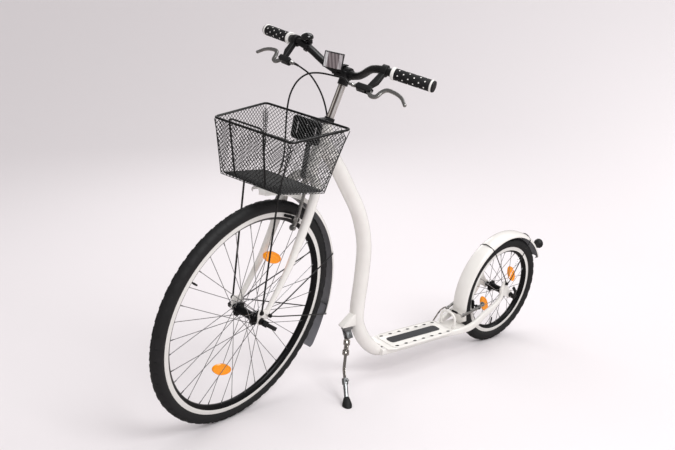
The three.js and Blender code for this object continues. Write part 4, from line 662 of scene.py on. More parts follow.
def clear_lens(dark="#6e686b", light="#c9c6ca"):
    """Clear moulded acrylic over upright prisms, which reads as one silver facet. Its dark and light bands are painted
    reflection, and each facet is given its own pair.
    """
    material, tree, shader, place = new_material("clear acrylic prisms with painted reflection")
    prism = node(tree, "ShaderNodeTexWave", {"Vector": place, "Scale": 1 / (26 * MM)},
                 bands_direction="X").outputs["Fac"]
    # Painted reflection: the bands run between the facet's dark and light colour.
    set_inputs(tree, shader, {
        "Base Color": mixed(tree, prism, dark, light), "Metallic": 0.25, "Roughness": 0.16, "Coat Weight": 0.7,
        "Normal": bump(tree, prism, 0.3, 0.4),
    })
    return material


# Painted reflections on the chrome stem: colour stops across it, dark and bright bands that stand in for what the
# chrome reflects.
PAINTED_REFLECTIONS = ((0, "#d9d0c8"), (1, "#b9b0ab"), (0.16, "#5f5149"), (0.34, "#5a4c44"), (0.44, "#f6f1ea"),
           (0.54, "#efe7dd"), (0.62, "#4c413c"), (0.76, "#6d635e"), (0.84, "#f4f1ef"))
PAINTED_REFLECTIONS_HALF = 12


def chrome_stem():
    """Bright chrome plate on the stem, with painted reflections of what stands round it: a colour ramp across the stem
    lays dark and bright bands along its length.
    """
    material, tree, shader, place = new_material("chrome plate with painted reflections")
    offset = node(tree, "ShaderNodeVectorMath", {0: place, 1: FRONT @ on_axis(900)}, operation="SUBTRACT")
    across = node(tree, "ShaderNodeVectorMath", {0: offset.outputs["Vector"], 1: FRONT.to_3x3() @ ACROSS},
                  operation="DOT_PRODUCT")
    reflection_share = node(tree, "ShaderNodeMapRange", {"Value": across.outputs["Value"], "From Min": -PAINTED_REFLECTIONS_HALF * MM,
                                               "From Max": PAINTED_REFLECTIONS_HALF * MM})
    ramp = node(tree, "ShaderNodeValToRGB", {"Fac": reflection_share.outputs["Result"]})
    stops = ramp.color_ramp.elements
    for i, (share, shade) in enumerate(PAINTED_REFLECTIONS):
        stop = stops[i] if i < 2 else stops.new(share)
        stop.position, stop.color = share, linear(shade)
    set_inputs(tree, shader, {"Base Color": ramp.outputs["Color"], "Metallic": 0.45, "Roughness": 0.1,
                              "Coat Weight": 0.5})
    return material


def grip_tape():
    """Silicon carbide grit on tape: dark grey with 1 mm grains, drawn coarse so that they show."""
    material, tree, shader, place = new_material("grit tape")
    grit = cells(tree, place, 1.1)
    set_inputs(tree, shader, {"Base Color": mixed(tree, grit, "#2a2a2c", "#4a4a4d"), "Roughness": 0.85,
                              "Normal": bump(tree, grit, 0.4, 1)})
    return material


def fender_inside_grey():
    """The inside of the fenders, the faces turned to the wheel: grey."""
    return coat("fender inside grey", ("#77777a", "#838386"), 20, (0.5, 0.65))


def grey_flap():
    """Soft grey vinyl of the mudflap."""
    return coat("grey vinyl", ("#6f6f74", "#7d7d82"), 15, (0.45, 0.6))


FINISHES = {}


def finish(maker):
    """A material, made the first time that a piece asks for it."""
    if maker not in FINISHES:
        FINISHES[maker] = maker()
    return FINISHES[maker]


FINISH_OF_SLOT = {
    "white_paint": gloss_enamel, "black_steel": powder_coat, "black_plastic": moulded_plastic,
    "rubber": grip_rubber, "tyre": tyre_rubber, "chrome": chrome_plate, "zinc": zinc_plate,
    "alloy": forged_alloy, "black_hub": black_anodised, "cable": cable_casing, "amber_lens": amber_lens,
    "clear_lens": clear_lens, "dark_lens": moulded_plastic, "grit": grip_tape,
}


# Places shared by the pieces, in the upright frame
RAKE = 46.7
GAP = 0.3
RIM_HALF = 12.5


def radial(degrees):
    """A unit direction in the plane of the wheels: 0 points back and 90 up."""
    angle = math.radians(degrees)
    return Vector((0, math.cos(angle), math.sin(angle)))


AXIS = radial(HEAD_ANGLE)
FRONT_HUB = point(0, 0, FRONT_RADIUS)
REAR_HUB = point(0, WHEELBASE, REAR_RADIUS)
AXIS_FOOT = FRONT_HUB + Vector((0, AXIS.z, -AXIS.y)) * RAKE * MM
ACROSS = Vector((1, 0, 0))
UPWARDS = Vector((0, 0, 1))
# Turns a plate so that its own X points back, its Y up and its thickness across
SIDE_ON = Matrix(((0, 0, 1, 0), (1, 0, 0, 0), (0, 1, 0, 0), (0, 0, 0, 1)))


def on_axis(height):
    """The place on the steering axis at a height in millimetres."""
    return AXIS_FOOT + AXIS * ((height * MM - AXIS_FOOT.z) / AXIS.z)


def lerp(a, b, share):
    """A value between two values."""
    return a + (b - a) * share


def eased(share, start, end):
    """A smooth step from 0 to 1 between two shares."""
    t = min(1, max(0, (share - start) / (end - start)))
    return t * t * (3 - 2 * t)


def rounded_box(half_x, half_y, corner, steps=4):
    """The outline of a box with round corners, in millimetres."""
    outline = []
    for x, y, start in ((1, 1, 0), (-1, 1, 90), (-1, -1, 180), (1, -1, 270)):
        for i in range(steps + 1):
            a = math.radians(start + 90 * i / steps)
            outline.append((x * (half_x - corner) + corner * math.cos(a), y * (half_y - corner) + corner * math.sin(a)))
    return outline


def ellipse(half_x, half_y, steps=32):
    """An ellipse's outline, in millimetres."""
    return [(half_x * math.cos(a), half_y * math.sin(a)) for a in (math.tau * i / steps for i in range(steps))]


def cut(piece, *tools):
    """Cuts the tools out of a piece."""
    for tool in tools:
        modifier = piece.modifiers.new("cut", "BOOLEAN")
        modifier.operation = "DIFFERENCE"
        modifier.solver = "EXACT"
        modifier.object = tool
    apply_modifiers(piece)
    for tool in tools:
        pick(tool)
        bpy.ops.object.delete()
    return piece


# Wheels
FRONT_WHEEL = {"end": "front", "radius": 349, "tyre": 19, "rim": 316, "depth": 25, "half": RIM_HALF, "spokes": 36,
               "cross": 3, "reflector": 178, "angle": 67, "valve": 147, "body": "front_wheel"}
REAR_WHEEL = {"end": "rear", "radius": 221, "tyre": 21.5, "rim": 182, "depth": 24, "half": RIM_HALF, "spokes": 28,
              "cross": 2, "reflector": 90, "angle": 37, "valve": 272, "body": "rear_wheel"}
RIM = {"wall": 2, "bead": 6, "nose": 5, "track": 14}
HUB = {"flange": 23, "flange_at": 31, "thick": 3.5, "barrel": 14, "end": 9.5, "bore": 5.4}
SPOKE = {"radius": 1.0, "head": 3.3, "splay": 1.4, "rim_splay": 2.5, "nipple": 1.9, "nipple_length": 12}
REFLECTOR = {"half": 41, "tall": 17, "thick": 9}
LUG = {"half": 12.5, "spread": 24, "pitch": 38, "sunk": 0.5, "shoulder": 0.2, "top": 0.88}
CARCASS_INSET = 0.3
BEAD_FIT = 0.4
HUB_HALF = {"front": 50.5, "rear": 55.7}


def on_tyre(wheel, degrees, along, rise, turn):
    """A place over the carcass: degrees round its section, millimetres along it and above it."""
    centre, reach = wheel["radius"] - wheel["tyre"], wheel["tyre"] - CARCASS_INSET + rise
    section, angle = math.radians(degrees), turn + along / wheel["radius"]
    out = centre + reach * math.sin(section)
    return point(reach * math.cos(section), -out * math.sin(angle), out * math.cos(angle))


def tyre(wheel):
    """A slick round tyre with a row of oval lugs on each shoulder."""
    centre = wheel["radius"] - wheel["tyre"]
    start = math.asin((centre - wheel["rim"]) / wheel["tyre"])
    arc = []
    for i in range(21):
        angle = -start + (math.pi + 2 * start) * i / 20
        arc.append((centre + wheel["tyre"] * math.sin(angle) - CARCASS_INSET,
                    (wheel["tyre"] - CARCASS_INSET) * math.cos(angle)))
    bead = wheel["half"] - RIM["wall"] - BEAD_FIT
    seat = wheel["rim"] - RIM["bead"] + BEAD_FIT
    carcass = turned([(seat, -bead), (seat, bead), *arc, (seat, -bead)], segments=120)
    count = round(math.tau * wheel["radius"] / LUG["pitch"])
    depth = bpy.context.scene.kick_bike_sizes.tread_depth / MM
    levels = ((-LUG["sunk"], 1), (depth - LUG["shoulder"], 1), (depth, LUG["top"]))
    outline = [(LUG["half"] * y, LUG["spread"] * x) for x, y in ellipse(1, 1, 20)]
    lugs = []
    for angle, shift in ((50, 0), (130, 0.5)):
        lugs.append(swept([[on_tyre(wheel, angle + v * share, u * share, rise, math.tau * shift / count)
                            for u, v in outline] for rise, share in levels]))
    tread = joined(*lugs)
    pick(tread)
    bpy.ops.object.mode_set(mode="EDIT")
    bpy.ops.mesh.select_all(action="SELECT")
    bpy.ops.mesh.spin(steps=count, angle=math.tau, dupli=True, center=(0, 0, 0), axis=(1, 0, 0))
    bpy.ops.object.mode_set(mode="OBJECT")
    return joined(carcass, tread)


def rim(wheel):
    """A box section rim with machined brake walls and a black inner well."""
    outer, half = wheel["rim"], wheel["half"]
    nose, track, seat = outer - wheel["depth"], outer - RIM["track"], outer - RIM["bead"]
    inside = half - RIM["wall"]
    piece = turned([
        (outer, half), (outer - 0.8, half + 0.25), (track, half + 0.25), (track - 0.6, half - 0.4),
        (nose + 4, RIM["nose"] + 3), (nose + 1, RIM["nose"]), (nose, RIM["nose"] - 2), (nose, 2 - RIM["nose"]),
        (nose + 1, -RIM["nose"]), (nose + 4, -RIM["nose"] - 3), (track - 0.6, 0.4 - half), (track, -half - 0.25),
        (outer - 0.8, -half - 0.25), (outer, -half), (outer, -inside), (seat, -inside), (seat, inside),
        (outer, inside), (outer, half),
    ], segments=120)
    for finish_maker in (brake_track, black_anodised):
        piece.data.materials.append(finish(finish_maker))
    for face in piece.data.polygons:
        reach = math.hypot(face.center.y, face.center.z) / MM
        face.material_index = 0 if reach > track and abs(face.center.x) > inside * MM else 1
    return piece


def valve(wheel):
    """A stem valve with its cap."""
    way = radial(wheel["valve"])
    start = wheel["rim"] - RIM["track"]
    stem = rod(way * start * MM, way * (start - 34) * MM, 2.6, 16)
    cap = rod(way * (start - 26) * MM, way * (start - 40) * MM, 3.3, 16, 2.6)
    return joined(stem, cap)


def spoke_lines(wheel):
    """The ends of each spoke: its head in the flange and its nipple in the rim."""
    reach = wheel["rim"] - wheel["depth"] + 1
    inset = HUB["flange"] - SPOKE["head"]
    middle = HUB["flange_at"] + HUB["thick"] / 2
    turn = 2 * math.tau * wheel["cross"] / wheel["spokes"]
    for i in range(wheel["spokes"]):
        side = -1 if i % 2 else 1
        trailing = -1 if (i // 2) % 2 else 1
        rim_angle = math.tau * i / wheel["spokes"]
        hub_angle = rim_angle + trailing * turn
        yield (
            point(side * middle + trailing * SPOKE["splay"], inset * math.cos(hub_angle), inset * math.sin(hub_angle)),
            point(side * SPOKE["rim_splay"], reach * math.cos(rim_angle), reach * math.sin(rim_angle)),
        )


def spokes(wheel):
    """Laced spokes with their nipples."""
    parts = []
    for start, end in spoke_lines(wheel):
        way = (end - start).normalized()
        parts.append(rod(start - way * MM, end, SPOKE["radius"], 8))
        parts.append(rod(end - way * SPOKE["nipple_length"] * MM, end, SPOKE["nipple"] * 0.8, 8,
                         SPOKE["nipple"]))
    return joined(*parts)


def hub(wheel, half):
    """A black hub shell with flanges and lock nuts."""
    f, at_, t = HUB["flange"], HUB["flange_at"], HUB["thick"]
    sides = [(HUB["bore"], half), (HUB["end"], half), (HUB["end"] + 0.6, at_ + t + 6), (13, at_ + t + 4),
             (15, at_ + t), (f - 1, at_ + t), (f, at_ + t - 1), (f, at_ + 0.8), (f - 1, at_),
             (HUB["barrel"] + 2, at_ - 1), (HUB["barrel"], at_ - 5), (HUB["barrel"] - 1.5, 12)]
    profile = sides + [(r, -x) for r, x in reversed(sides)] + [sides[0]]
    return turned(profile, segments=48)


def spoke_reflector(wheel, turn):
    """An amber reflector: a domed oval lens in a raised rim, on both faces."""
    outward = radial(wheel["angle"] + turn)
    half, tall, thick = REFLECTOR["half"], REFLECTOR["tall"], REFLECTOR["thick"] / 2
    outline = ellipse(half, tall, 40)
    rings = []
    for inset, rise in ((4, -thick), (1, -thick), (0, -thick + 1), (0, thick - 1), (1, thick), (4, thick),
                        (4.6, thick - 1.2)):
        rings.append([point(x * (half - inset) / half, y * (tall - inset) / tall, rise) for x, y in outline])
    lens = swept(rings)
    lens.matrix_world = aim(outward * wheel["reflector"] * MM, outward.cross(ACROSS), ACROSS)
    return lens


def add_wheel(wheel, place):
    """All pieces of one wheel, laid on its own hub."""
    end, body = wheel["end"], wheel["body"]
    finished(tyre(wheel), f"{end}_tyre_treaded", place, body, finish(tyre_rubber), [f"{end}_tyre"])
    finished(rim(wheel), f"{end}_rim_machined", place, body, None, [f"{end}_rim"])
    finished(valve(wheel), f"{end}_valve", place, body, finish(moulded_plastic), slot="black_plastic")
    finished(hub(wheel, HUB_HALF[end]), f"{end}_hub_shell", place, body, finish(black_anodised), [f"{end}_hub"])
    finished(spokes(wheel), f"{end}_spokes", place, body, finish(stainless), slot="alloy")
    for name, turn in (("upper", 0), ("lower", 180)):
        finished(spoke_reflector(wheel, turn), f"{end}_reflector_{name}_lens", place, body, finish(amber_lens),
                 [f"{end}_wheel_reflector_{name}"])


class AddWheels(bpy.types.Operator):
    """Adds both wheels: tyres, rims, spokes, hubs and reflectors."""

    bl_idname = "kick_bike.wheels"
    bl_label = "Wheels"

    def execute(self, context):
        add_wheel(FRONT_WHEEL, FRONT @ Matrix.Translation(FRONT_HUB))
        add_wheel(REAR_WHEEL, FRAME @ Matrix.Translation(REAR_HUB))
        return {"FINISHED"}


# Frame
TUBE = {"radius": 24.3, "join": 852, "mitre_at": 604, "mitre": 42, "port": 6.5}
TUBE_SHARES = (
    (0.2096, 0.8834), (0.2666, 0.7859), (0.3204, 0.6839), (0.3552, 0.5673), (0.3663, 0.4406), (0.3703, 0.3128),
    (0.3790, 0.25), (0.4019, 0.1962), (0.4328, 0.1491), (0.4699, 0.1143), (0.5142, 0.1029),
)
HEAD = {"low": 768, "high": 892, "radius": 18.5, "cup": 22, "cup_length": 12, "bore": 15.3}
CABLE_PORT = ((-33, 254, 830), (-12, 276, 788))
DECK_UNDER = 110.7
PAN_TOP = 113
RAIL = {"half": 7, "deep": 11, "bend": 16, "thin": 9, "board": 33, "tail": 59, "start": 612, "end": 957}
RAIL_SHARES = (
    (0.14, 0.6, 0.08), (0.29, 0.92, 0.17), (0.43, 1, 0.35), (0.55, 1, 0.57), (0.675, 1, 0.74), (0.78, 1, 0.95),
    (0.82, 1, 1.19), (0.8, 1, 1.47),
)
RAIL_DEPTH_SHARES = (0, 0, 0, 0, 0, 0, 0, 0.03, 0.7, 1, 0.45, 0.2, 0)
DROPOUT_SHARES = (
    (-4.4, 0.6), (-4.7, 2.4), (-3.9, 4.1), (-3.2, 4.35), (-2.5, 4.1), (-2.1, 2.9), (-0.5, 1.2), (0.3, 0.95),
    (0.85, 0.5), (1, -0.1), (0.8, -0.65), (0.4, -1.05), (-0.4, -1.05), (-0.9, -0.6),
)
TIP_SHARES = (
    (-0.9, 0.5), (-1.1, 1.6), (-1, 2.7), (-0.4, 3), (0.3, 2.7), (1, 2.8), (2.1, 2.3), (2.9, 1.6), (3.1, 0.9),
    (2.7, 0.35), (1.6, -0.1), (0.9, -0.6), (0.5, -1.05), (-0.5, -1.05), (-0.95, -0.4),
)
HOOP = {"at": 980, "half": 34, "radius": 4.8, "height": 58, "lean": 5}
HOOP_SHARES = (
    (-0.82, 0.02), (-1, 0.4), (-0.88, 0.76), (-0.45, 0.97), (0, 1), (0.45, 0.97), (0.88, 0.76), (1, 0.4),
    (0.82, 0.02),
)


def tube_places():
    """The main tube's course from the head down to the deck."""
    return [on_axis(TUBE["join"])] + [point(0, y * WHEELBASE, z * HEAD["high"]) for y, z in TUBE_SHARES]


def main_tube():
    """The bent main tube, mitred under the deck, with the cable's port."""
    piece = pipe(tube_places(), TUBE["radius"], 110, 48)
    slant = radial(90 - TUBE["mitre"])
    foot = point(0, TUBE["mitre_at"], DECK_UNDER)
    behind = block(aim(foot + slant * 2 * TUBE["radius"] * MM, ACROSS, radial(180 - TUBE["mitre"])),
                   TUBE["radius"] + 4, 2 * TUBE["radius"], 4 * TUBE["radius"])
    port = rod(point(*CABLE_PORT[0]), point(*CABLE_PORT[1]), TUBE["port"], 32)
    head = rod(on_axis(HEAD["low"]), on_axis(HEAD["high"]), HEAD["radius"] - 1, 48)
    return smooth(cut(piece, behind, port, head))


def head_tube():
    """The head tube with its pressed cups, in one turned form."""
    low, high = on_axis(HEAD["low"]), on_axis(HEAD["high"])
    length = (high - low).length / MM
    r, c, l = HEAD["radius"], HEAD["cup"], HEAD["cup_length"]
    profile = [(HEAD["bore"], 0), (c - 1.2, 0), (c, 1.2), (c, l - 3), (c - 1, l - 1), (r + 0.8, l), (r, l + 1.5),
               (r, length - l - 1.5), (r + 0.8, length - l), (c - 1, length - l + 1), (c, length - l + 3),
               (c, length - 1.2), (c - 1.2, length), (HEAD["bore"], length), (HEAD["bore"], 0)]
    return turned(profile, aim(low, high - low), 64)


def rail():
    """The left side rail, from the main tube along the deck and up to the rear hub, with its dropout."""
    r = RAIL
    level = (DECK_UNDER - r["deep"]) * MM
    y0 = tube_places()[-2].y / MM
    flank = TUBE["radius"] * math.cos(math.radians(15)) + r["half"] + GAP
    places = [Vector((x * MM, y * MM, level)) for x, y in
              ((flank, y0), (flank, r["start"]), (r["board"], 645), (r["board"], r["end"]))]
    for along, out, up in RAIL_SHARES:
        places.append(Vector((lerp(r["board"], r["tail"], out) * MM, lerp(r["end"], WHEELBASE, along) * MM,
                              lerp(level, 206 * MM, up))))

    def section(share):
        spot = share * (len(RAIL_DEPTH_SHARES) - 1)
        k = min(int(spot), len(RAIL_DEPTH_SHARES) - 2)
        swell = lerp(RAIL_DEPTH_SHARES[k], RAIL_DEPTH_SHARES[k + 1], spot - k)
        flat = lerp(r["deep"], r["thin"], eased(share, 0.6, 1))
        return rounded_box(r["half"], lerp(flat, r["bend"], swell), 5, 4)

    bar = swept(rings_along(places, 90, section))
    outline = [(y * 15, z * 15) for y, z in DROPOUT_SHARES]
    place = Matrix.Translation(REAR_HUB + point(r["tail"], 0, 0)) @ SIDE_ON
    ear = round_edges(plate(outline, 3, place), 0.8 * MM)
    return joined(bar, smooth(ear))


def heel_hoop():
    """The bent wire hoop behind the deck."""
    h = HOOP
    places = [point(x * h["half"], h["at"] - up * h["lean"], PAN_TOP + GAP + up * h["height"])
              for x, up in HOOP_SHARES]
    return pipe(places, h["radius"], 60, 24)


class AddFrame(bpy.types.Operator):
    """Adds the painted frame: main tube, head tube, side rails with dropouts and the heel hoop."""

    bl_idname = "kick_bike.frame"
    bl_label = "Frame"

    def execute(self, context):
        paint = finish(gloss_enamel)
        finished(main_tube(), "main_tube_bent", FRAME, "frame", paint, ["main_tube"])
        finished(head_tube(), "head_tube_turned", FRAME, "frame", paint, ["head_tube"])
        left = rail()
        right = mirror_copy(left)
        for side, piece in (("left", left), ("right", right)):
            finished(piece, f"{side}_rail_bent", FRAME, "frame", paint, [f"{side}_rail"])
        finished(heel_hoop(), "heel_hoop_bent", FRAME, "frame", paint, ["heel_hoop"])
        finished(stand_bracket(), "stand_bracket", FRAME, "frame", paint, slot="white_paint")
        return {"FINISHED"}


BRACKET = {"half": 12, "side": 4, "front": 440.5, "reach": 50, "low": 222, "high": 264}


def stand_bracket():
    """The boxed bracket ahead of the main tube that carries the side stand."""
    b, front = BRACKET, BRACKET["front"]
    outline = [(front + 20, b["high"]), (front + 20, b["low"]), (front - b["reach"] + 12, b["low"]),
               (front - b["reach"] + 9, b["low"] + 5), (front + 2, b["high"])]
    place = Matrix.Translation(point(b["side"], 0, 0)) @ SIDE_ON
    return smooth(round_edges(plate(outline, b["half"], place), 1.5 * MM))


# Fork
FORK = {"half": 53, "crown": 757, "top": 14, "tip": 7.5, "race": 20, "steerer_top": 903, "steerer": 14.4, "bore": 11.5}
BLADE_SHARES = (
    (0, 0, 0.28), (0.037, 0.059, 0.72), (0.103, 0.12, 0.95), (0.176, 0.17, 1), (0.297, 0.235, 1),
    (0.478, 0.355, 1), (0.667, 0.52, 1.01), (0.877, 0.78, 1.01), (0.955, 0.88, 1.01),
)
FRONT_TIP = {"half": 2.6, "at": 53.4, "radius": 12}


def blade():
    """The left fork blade, bent out at the crown and drawn thin towards its tip."""
    crown = on_axis(FORK["crown"])
    places = [Vector((out * FORK["half"] * MM, lerp(crown.y, 0, forward), lerp(crown.z, FRONT_HUB.z, down)))
              for down, forward, out in BLADE_SHARES]
    thin = FORK["tip"] / FORK["top"]
    return pipe(places, FORK["top"], 80, 32, lambda share: lerp(1, thin, eased(share, 0.25, 1)))


def fork():
    """The fork: two blades, crown, race seat, steerer and forged tips."""
    left = blade()
    outline = [(y * FRONT_TIP["radius"], z * FRONT_TIP["radius"]) for y, z in TIP_SHARES]
    place = Matrix.Translation(FRONT_HUB + point(FRONT_TIP["at"], 0, 0)) @ SIDE_ON
    tip = smooth(round_edges(plate(outline, FRONT_TIP["half"], place), 0.7 * MM))
    left = joined(left, tip)
    right = mirror_copy(left)
    crown, low, top = on_axis(FORK["crown"]), on_axis(HEAD["low"]), on_axis(FORK["steerer_top"])
    race = rod(crown - AXIS * 14 * MM, low - AXIS * GAP * MM, FORK["race"] - 1.5, 48, FORK["race"])
    tube = rod(low - AXIS * MM, top, FORK["steerer"], 48)
    lock = turned([(FORK["bore"], 0), (18, 0), (18, 5), (17, 6.5), (FORK["bore"], 6.5), (FORK["bore"], 0)],
                  aim(top - AXIS * 10.5 * MM, AXIS), 6)
    return joined(left, right, race, tube, lock)


class AddFork(bpy.types.Operator):
    """Adds the painted fork."""

    bl_idname = "kick_bike.fork"
    bl_label = "Fork"

    def execute(self, context):
        finished(fork(), "fork_bent", FRONT, "steering", finish(gloss_enamel), ["fork"])
        return {"FINISHED"}


# Fenders
GUARD = {"drop": 15, "thick": 1.5, "square": 2.6, "points": 14, "end": 16, "blunt": 0.42}
FRONT_GUARD = {"half": 27, "radius": 426, "start": 90, "end": -9, "centre": point(0, -48, 316)}
REAR_GUARD = {"half": 30, "radius": 243, "start": 29, "end": 180 + math.degrees(math.asin((221 - 113.3) / 244.8)),
              "centre": REAR_HUB}
FLAP = {"half": 19, "end": -25, "thick": 2.2, "overlap": 5}
GUARD_TAB = {"half": 11, "thick": 2.2, "angle": 66}


def crown_drop(share):
    """How far a fender's section has dropped at a share of its half width: round, and steep at its edge."""
    square = GUARD["square"]
    return GUARD["drop"] * (1 - max(0, 1 - min(1, abs(share)) ** square) ** (1 / square))


def fender(guard, steps):
    """A crowned shell round a wheel: painted outside and grey inside, with round ends."""
    half, across = guard["half"], GUARD["points"]
    rings = []
    for i in range(steps + 1):
        angle = lerp(guard["start"], guard["end"], i / steps)
        reach = abs(guard["end"] - guard["start"]) * min(i, steps - i) / steps * math.radians(1) * guard["radius"]
        width = half * max(GUARD["blunt"], math.sqrt(1 - (1 - min(1, reach / GUARD["end"])) ** 2))
        section = [math.sin(math.pi * (0.5 - k / across)) for k in range(across + 1)]
        outer = [(share * (width + GUARD["thick"] * abs(share)), GUARD["thick"] * (1 - abs(share)) - crown_drop(share))
                 for share in section]
        inner = [(share * width, -crown_drop(share)) for share in reversed(section)]
        rings.append([guard["centre"] + radial(angle) * (guard["radius"] + rise) * MM + ACROSS * x * MM
                      for x, rise in outer + inner])
    shell = swept(rings)
    for maker in (gloss_enamel, fender_inside_grey):
        shell.data.materials.append(finish(maker))
    for face in shell.data.polygons:
        outward = face.center - guard["centre"]
        outward.x = 0
        face.material_index = 1 if face.normal.dot(outward.normalized()) < -0.5 else 0
    return shell


def mudflap():
    """The grey flap of the front fender."""
    g = FRONT_GUARD
    rings = []
    for i in range(13):
        angle = lerp(g["end"] + FLAP["overlap"], FLAP["end"], i / 12)
        half = FLAP["half"] * (1 if i < 12 else 0.8)
        radius = g["radius"] - GUARD["drop"] / 2
        rings.append([g["centre"] + radial(angle) * (radius + y) * MM + ACROSS * x * MM
                      for x, y in rounded_box(half, FLAP["thick"] / 2, 1, 3)])
    return swept(rings)


def fender_tab():
    """The strap that carries the front fender under the crown."""
    g = FRONT_GUARD
    foot = g["centre"] + radial(GUARD_TAB["angle"]) * (g["radius"] + 1) * MM
    top = on_axis(FORK["crown"] - FORK["top"]) - AXIS * (GUARD_TAB["thick"] / 2 + GAP) * MM
    piece = block(aim((foot + top) / 2, ACROSS, top - foot), GUARD_TAB["half"], GUARD_TAB["thick"] / 2,
                  (top - foot).length / MM / 2)
    return smooth(round_edges(piece, 0.8 * MM))


STAY = {"radius": 1.9, "clear": 2.0, "straight": 0.12, "bend": 9}
STAY_SHARES = (1.16, 1.08, 0.85, 0.5, 0)


def stay(guard, angle, eye):
    """One wire that rises from an eye on the left, crosses over the fender and comes down on the right."""
    level = guard["radius"] + GUARD["thick"] + 0.2 + STAY["radius"] + STAY["clear"]
    rise = [guard["centre"] + radial(angle) * (level - GUARD["drop"] * share ** 2) * MM
            + ACROSS * share * guard["half"] * MM for share in STAY_SHARES]
    first = eye.lerp(rise[0], STAY["straight"])
    first.x = eye.x
    left = [eye, first, *rise]
    wire = rounded_wire([*left, *opposite(left[:-1])], STAY["radius"], STAY["bend"])
    eyes = [turned([(3, -1), (5.2, -1.4), (5.8, -1.0), (5.8, 1.0), (5.2, 1.4), (3, 1), (3, -1)],
                   Matrix.Translation(Vector((side * eye.x, eye.y, eye.z))), 32) for side in (1, -1)]
    bolts = [rod(Vector((side * (eye.x - 2.4 * MM), eye.y, eye.z)),
                 Vector((side * (eye.x + 3 * MM), eye.y, eye.z)), 4, 6) for side in (1, -1)]
    return joined(wire, *eyes, *bolts)


STAY_STEP = 4.7
REAR_EYE = (64.5, WHEELBASE - 48, REAR_RADIUS + 54)
FRONT_EYE = (58.5, 32, 360)


class AddFenders(bpy.types.Operator):
    """Adds both fenders, the mudflap and the wire stays."""

    bl_idname = "kick_bike.fenders"
    bl_label = "Fenders"

    def execute(self, context):
        finished(fender(FRONT_GUARD, 60), "front_fender_shell", FRONT, "steering", None, ["front_fender"])
        finished(mudflap(), "mudflap", FRONT, "steering", finish(grey_flap), ["front_fender"], "white_paint")
        finished(fender_tab(), "front_fender_tab", FRONT, "steering", finish(gloss_enamel), ["front_fender"])
        finished(fender(REAR_GUARD, 60), "rear_fender_shell", FRAME, "frame", None, ["rear_fender"])
        for name, guard, angle, eye, shift in (
            ("front_stay_upper", FRONT_GUARD, 24, FRONT_EYE, 0),
            ("front_stay_lower", FRONT_GUARD, -7.5, FRONT_EYE, STAY_STEP),
            ("rear_stay_front", REAR_GUARD, 124.5, REAR_EYE, 0),
            ("rear_stay_back", REAR_GUARD, 64, REAR_EYE, STAY_STEP),
        ):
            place, body = (FRONT, "steering") if name.startswith("front") else (FRAME, "frame")
            wire = stay(guard, angle, point(eye[0] + shift, eye[1], eye[2]))
            finished(wire, f"{name}_wire", place, body, finish(powder_coat), [name])
        return {"FINISHED"}


# Basket
BASKET = {"rim": 3.4, "corner": 16, "tilt": -2.1, "tilt_height": 840, "wire": 1.1, "floor_wire": 1.8}
BASKET_REAR = {"floor": (108.5, 94, 747.5), "rim": (154.5, 116, 933.5)}
BASKET_FRONT = {"floor": (100.5, -79, 761), "rim": (138.5, -101, 907)}
BASKET_HOOP = {"half": 60, "foot": 55, "out": 25, "rise": 17, "radius": 2.6, "bend": 14}


def basket_corner(end, level, side):
    """A corner of the basket."""
    x, y, z = end[level]
    return point(side * x, y, z)


def basket_ring(level):
    """The four corners of the rim or of the floor."""
    return [basket_corner(end, level, side) for end, side in
            ((BASKET_FRONT, 1), (BASKET_REAR, 1), (BASKET_REAR, -1), (BASKET_FRONT, -1))]


def net(corners):
    """Expanded mesh of small diamonds between four corners, cut along its edges."""
    sizes = bpy.context.scene.kick_bike_sizes
    low_a, low_b, high_b, high_a = corners
    along = (low_b - low_a).normalized()
    up = (high_a + high_b - low_a - low_b).normalized()
    normal = along.cross(up).normalized()
    up = normal.cross(along)
    place = Matrix((along, up, normal)).transposed().to_4x4()
    place.translation = (low_a + low_b + high_a + high_b) / 4
    reach = max((a - b).length for a in corners for b in corners)
    cell = sizes.net_cell
    count = int(reach / (cell * math.sqrt(0.5))) + 2
    deselect()
    bpy.ops.mesh.primitive_grid_add(x_subdivisions=count, y_subdivisions=count, size=count * cell * math.sqrt(0.5))
    piece = bpy.context.object
    piece.matrix_world = place @ Matrix.Diagonal((0.8, 1, 1, 1)) @ Matrix.Rotation(math.radians(45), 4, "Z")
    bpy.ops.object.transform_apply()
    bpy.ops.object.mode_set(mode="EDIT")
    for i, here in enumerate(corners):
        there = corners[(i + 1) % 4]
        bpy.ops.mesh.select_all(action="SELECT")
        bpy.ops.mesh.bisect(plane_co=here, plane_no=(there - here).cross(normal), clear_outer=True)
    bpy.ops.object.mode_set(mode="OBJECT")
    wires = piece.modifiers.new("strands", "WIREFRAME")
    wires.thickness = sizes.net_wire
    wires.use_boundary = True
    wires.use_even_offset = False
    return apply_modifiers(piece)


def basket_panels():
    """The five nets with the node that each stands for."""
    low, high = basket_ring("floor"), basket_ring("rim")
    walls = (("left", 0, 1), ("back", 1, 2), ("right", 2, 3), ("front", 3, 0))
    for name, a, b in walls:
        corners = [low[a], low[b], high[b], high[a]]
        middle = sum(corners, Vector()) / 4
        yield name, net([c.lerp(middle, 0.004) for c in corners])
    yield "floor", net(low)


def basket_frame():
    """Rim wire, floor wire and the corner wires of the basket."""
    low, high = basket_ring("floor"), basket_ring("rim")
    rim_wire = wire_along(rounded_loop(high, BASKET["corner"]), BASKET["rim"], 20, True)
    floor_wire = wire_along(rounded_loop(low, 6), BASKET["floor_wire"], 12, True)
    posts = [wire_along([a, a.lerp(b, 0.5), b.lerp(a, 0.03)], BASKET["wire"], 12) for a, b in zip(low, high)]
    return joined(rim_wire, floor_wire, *posts)


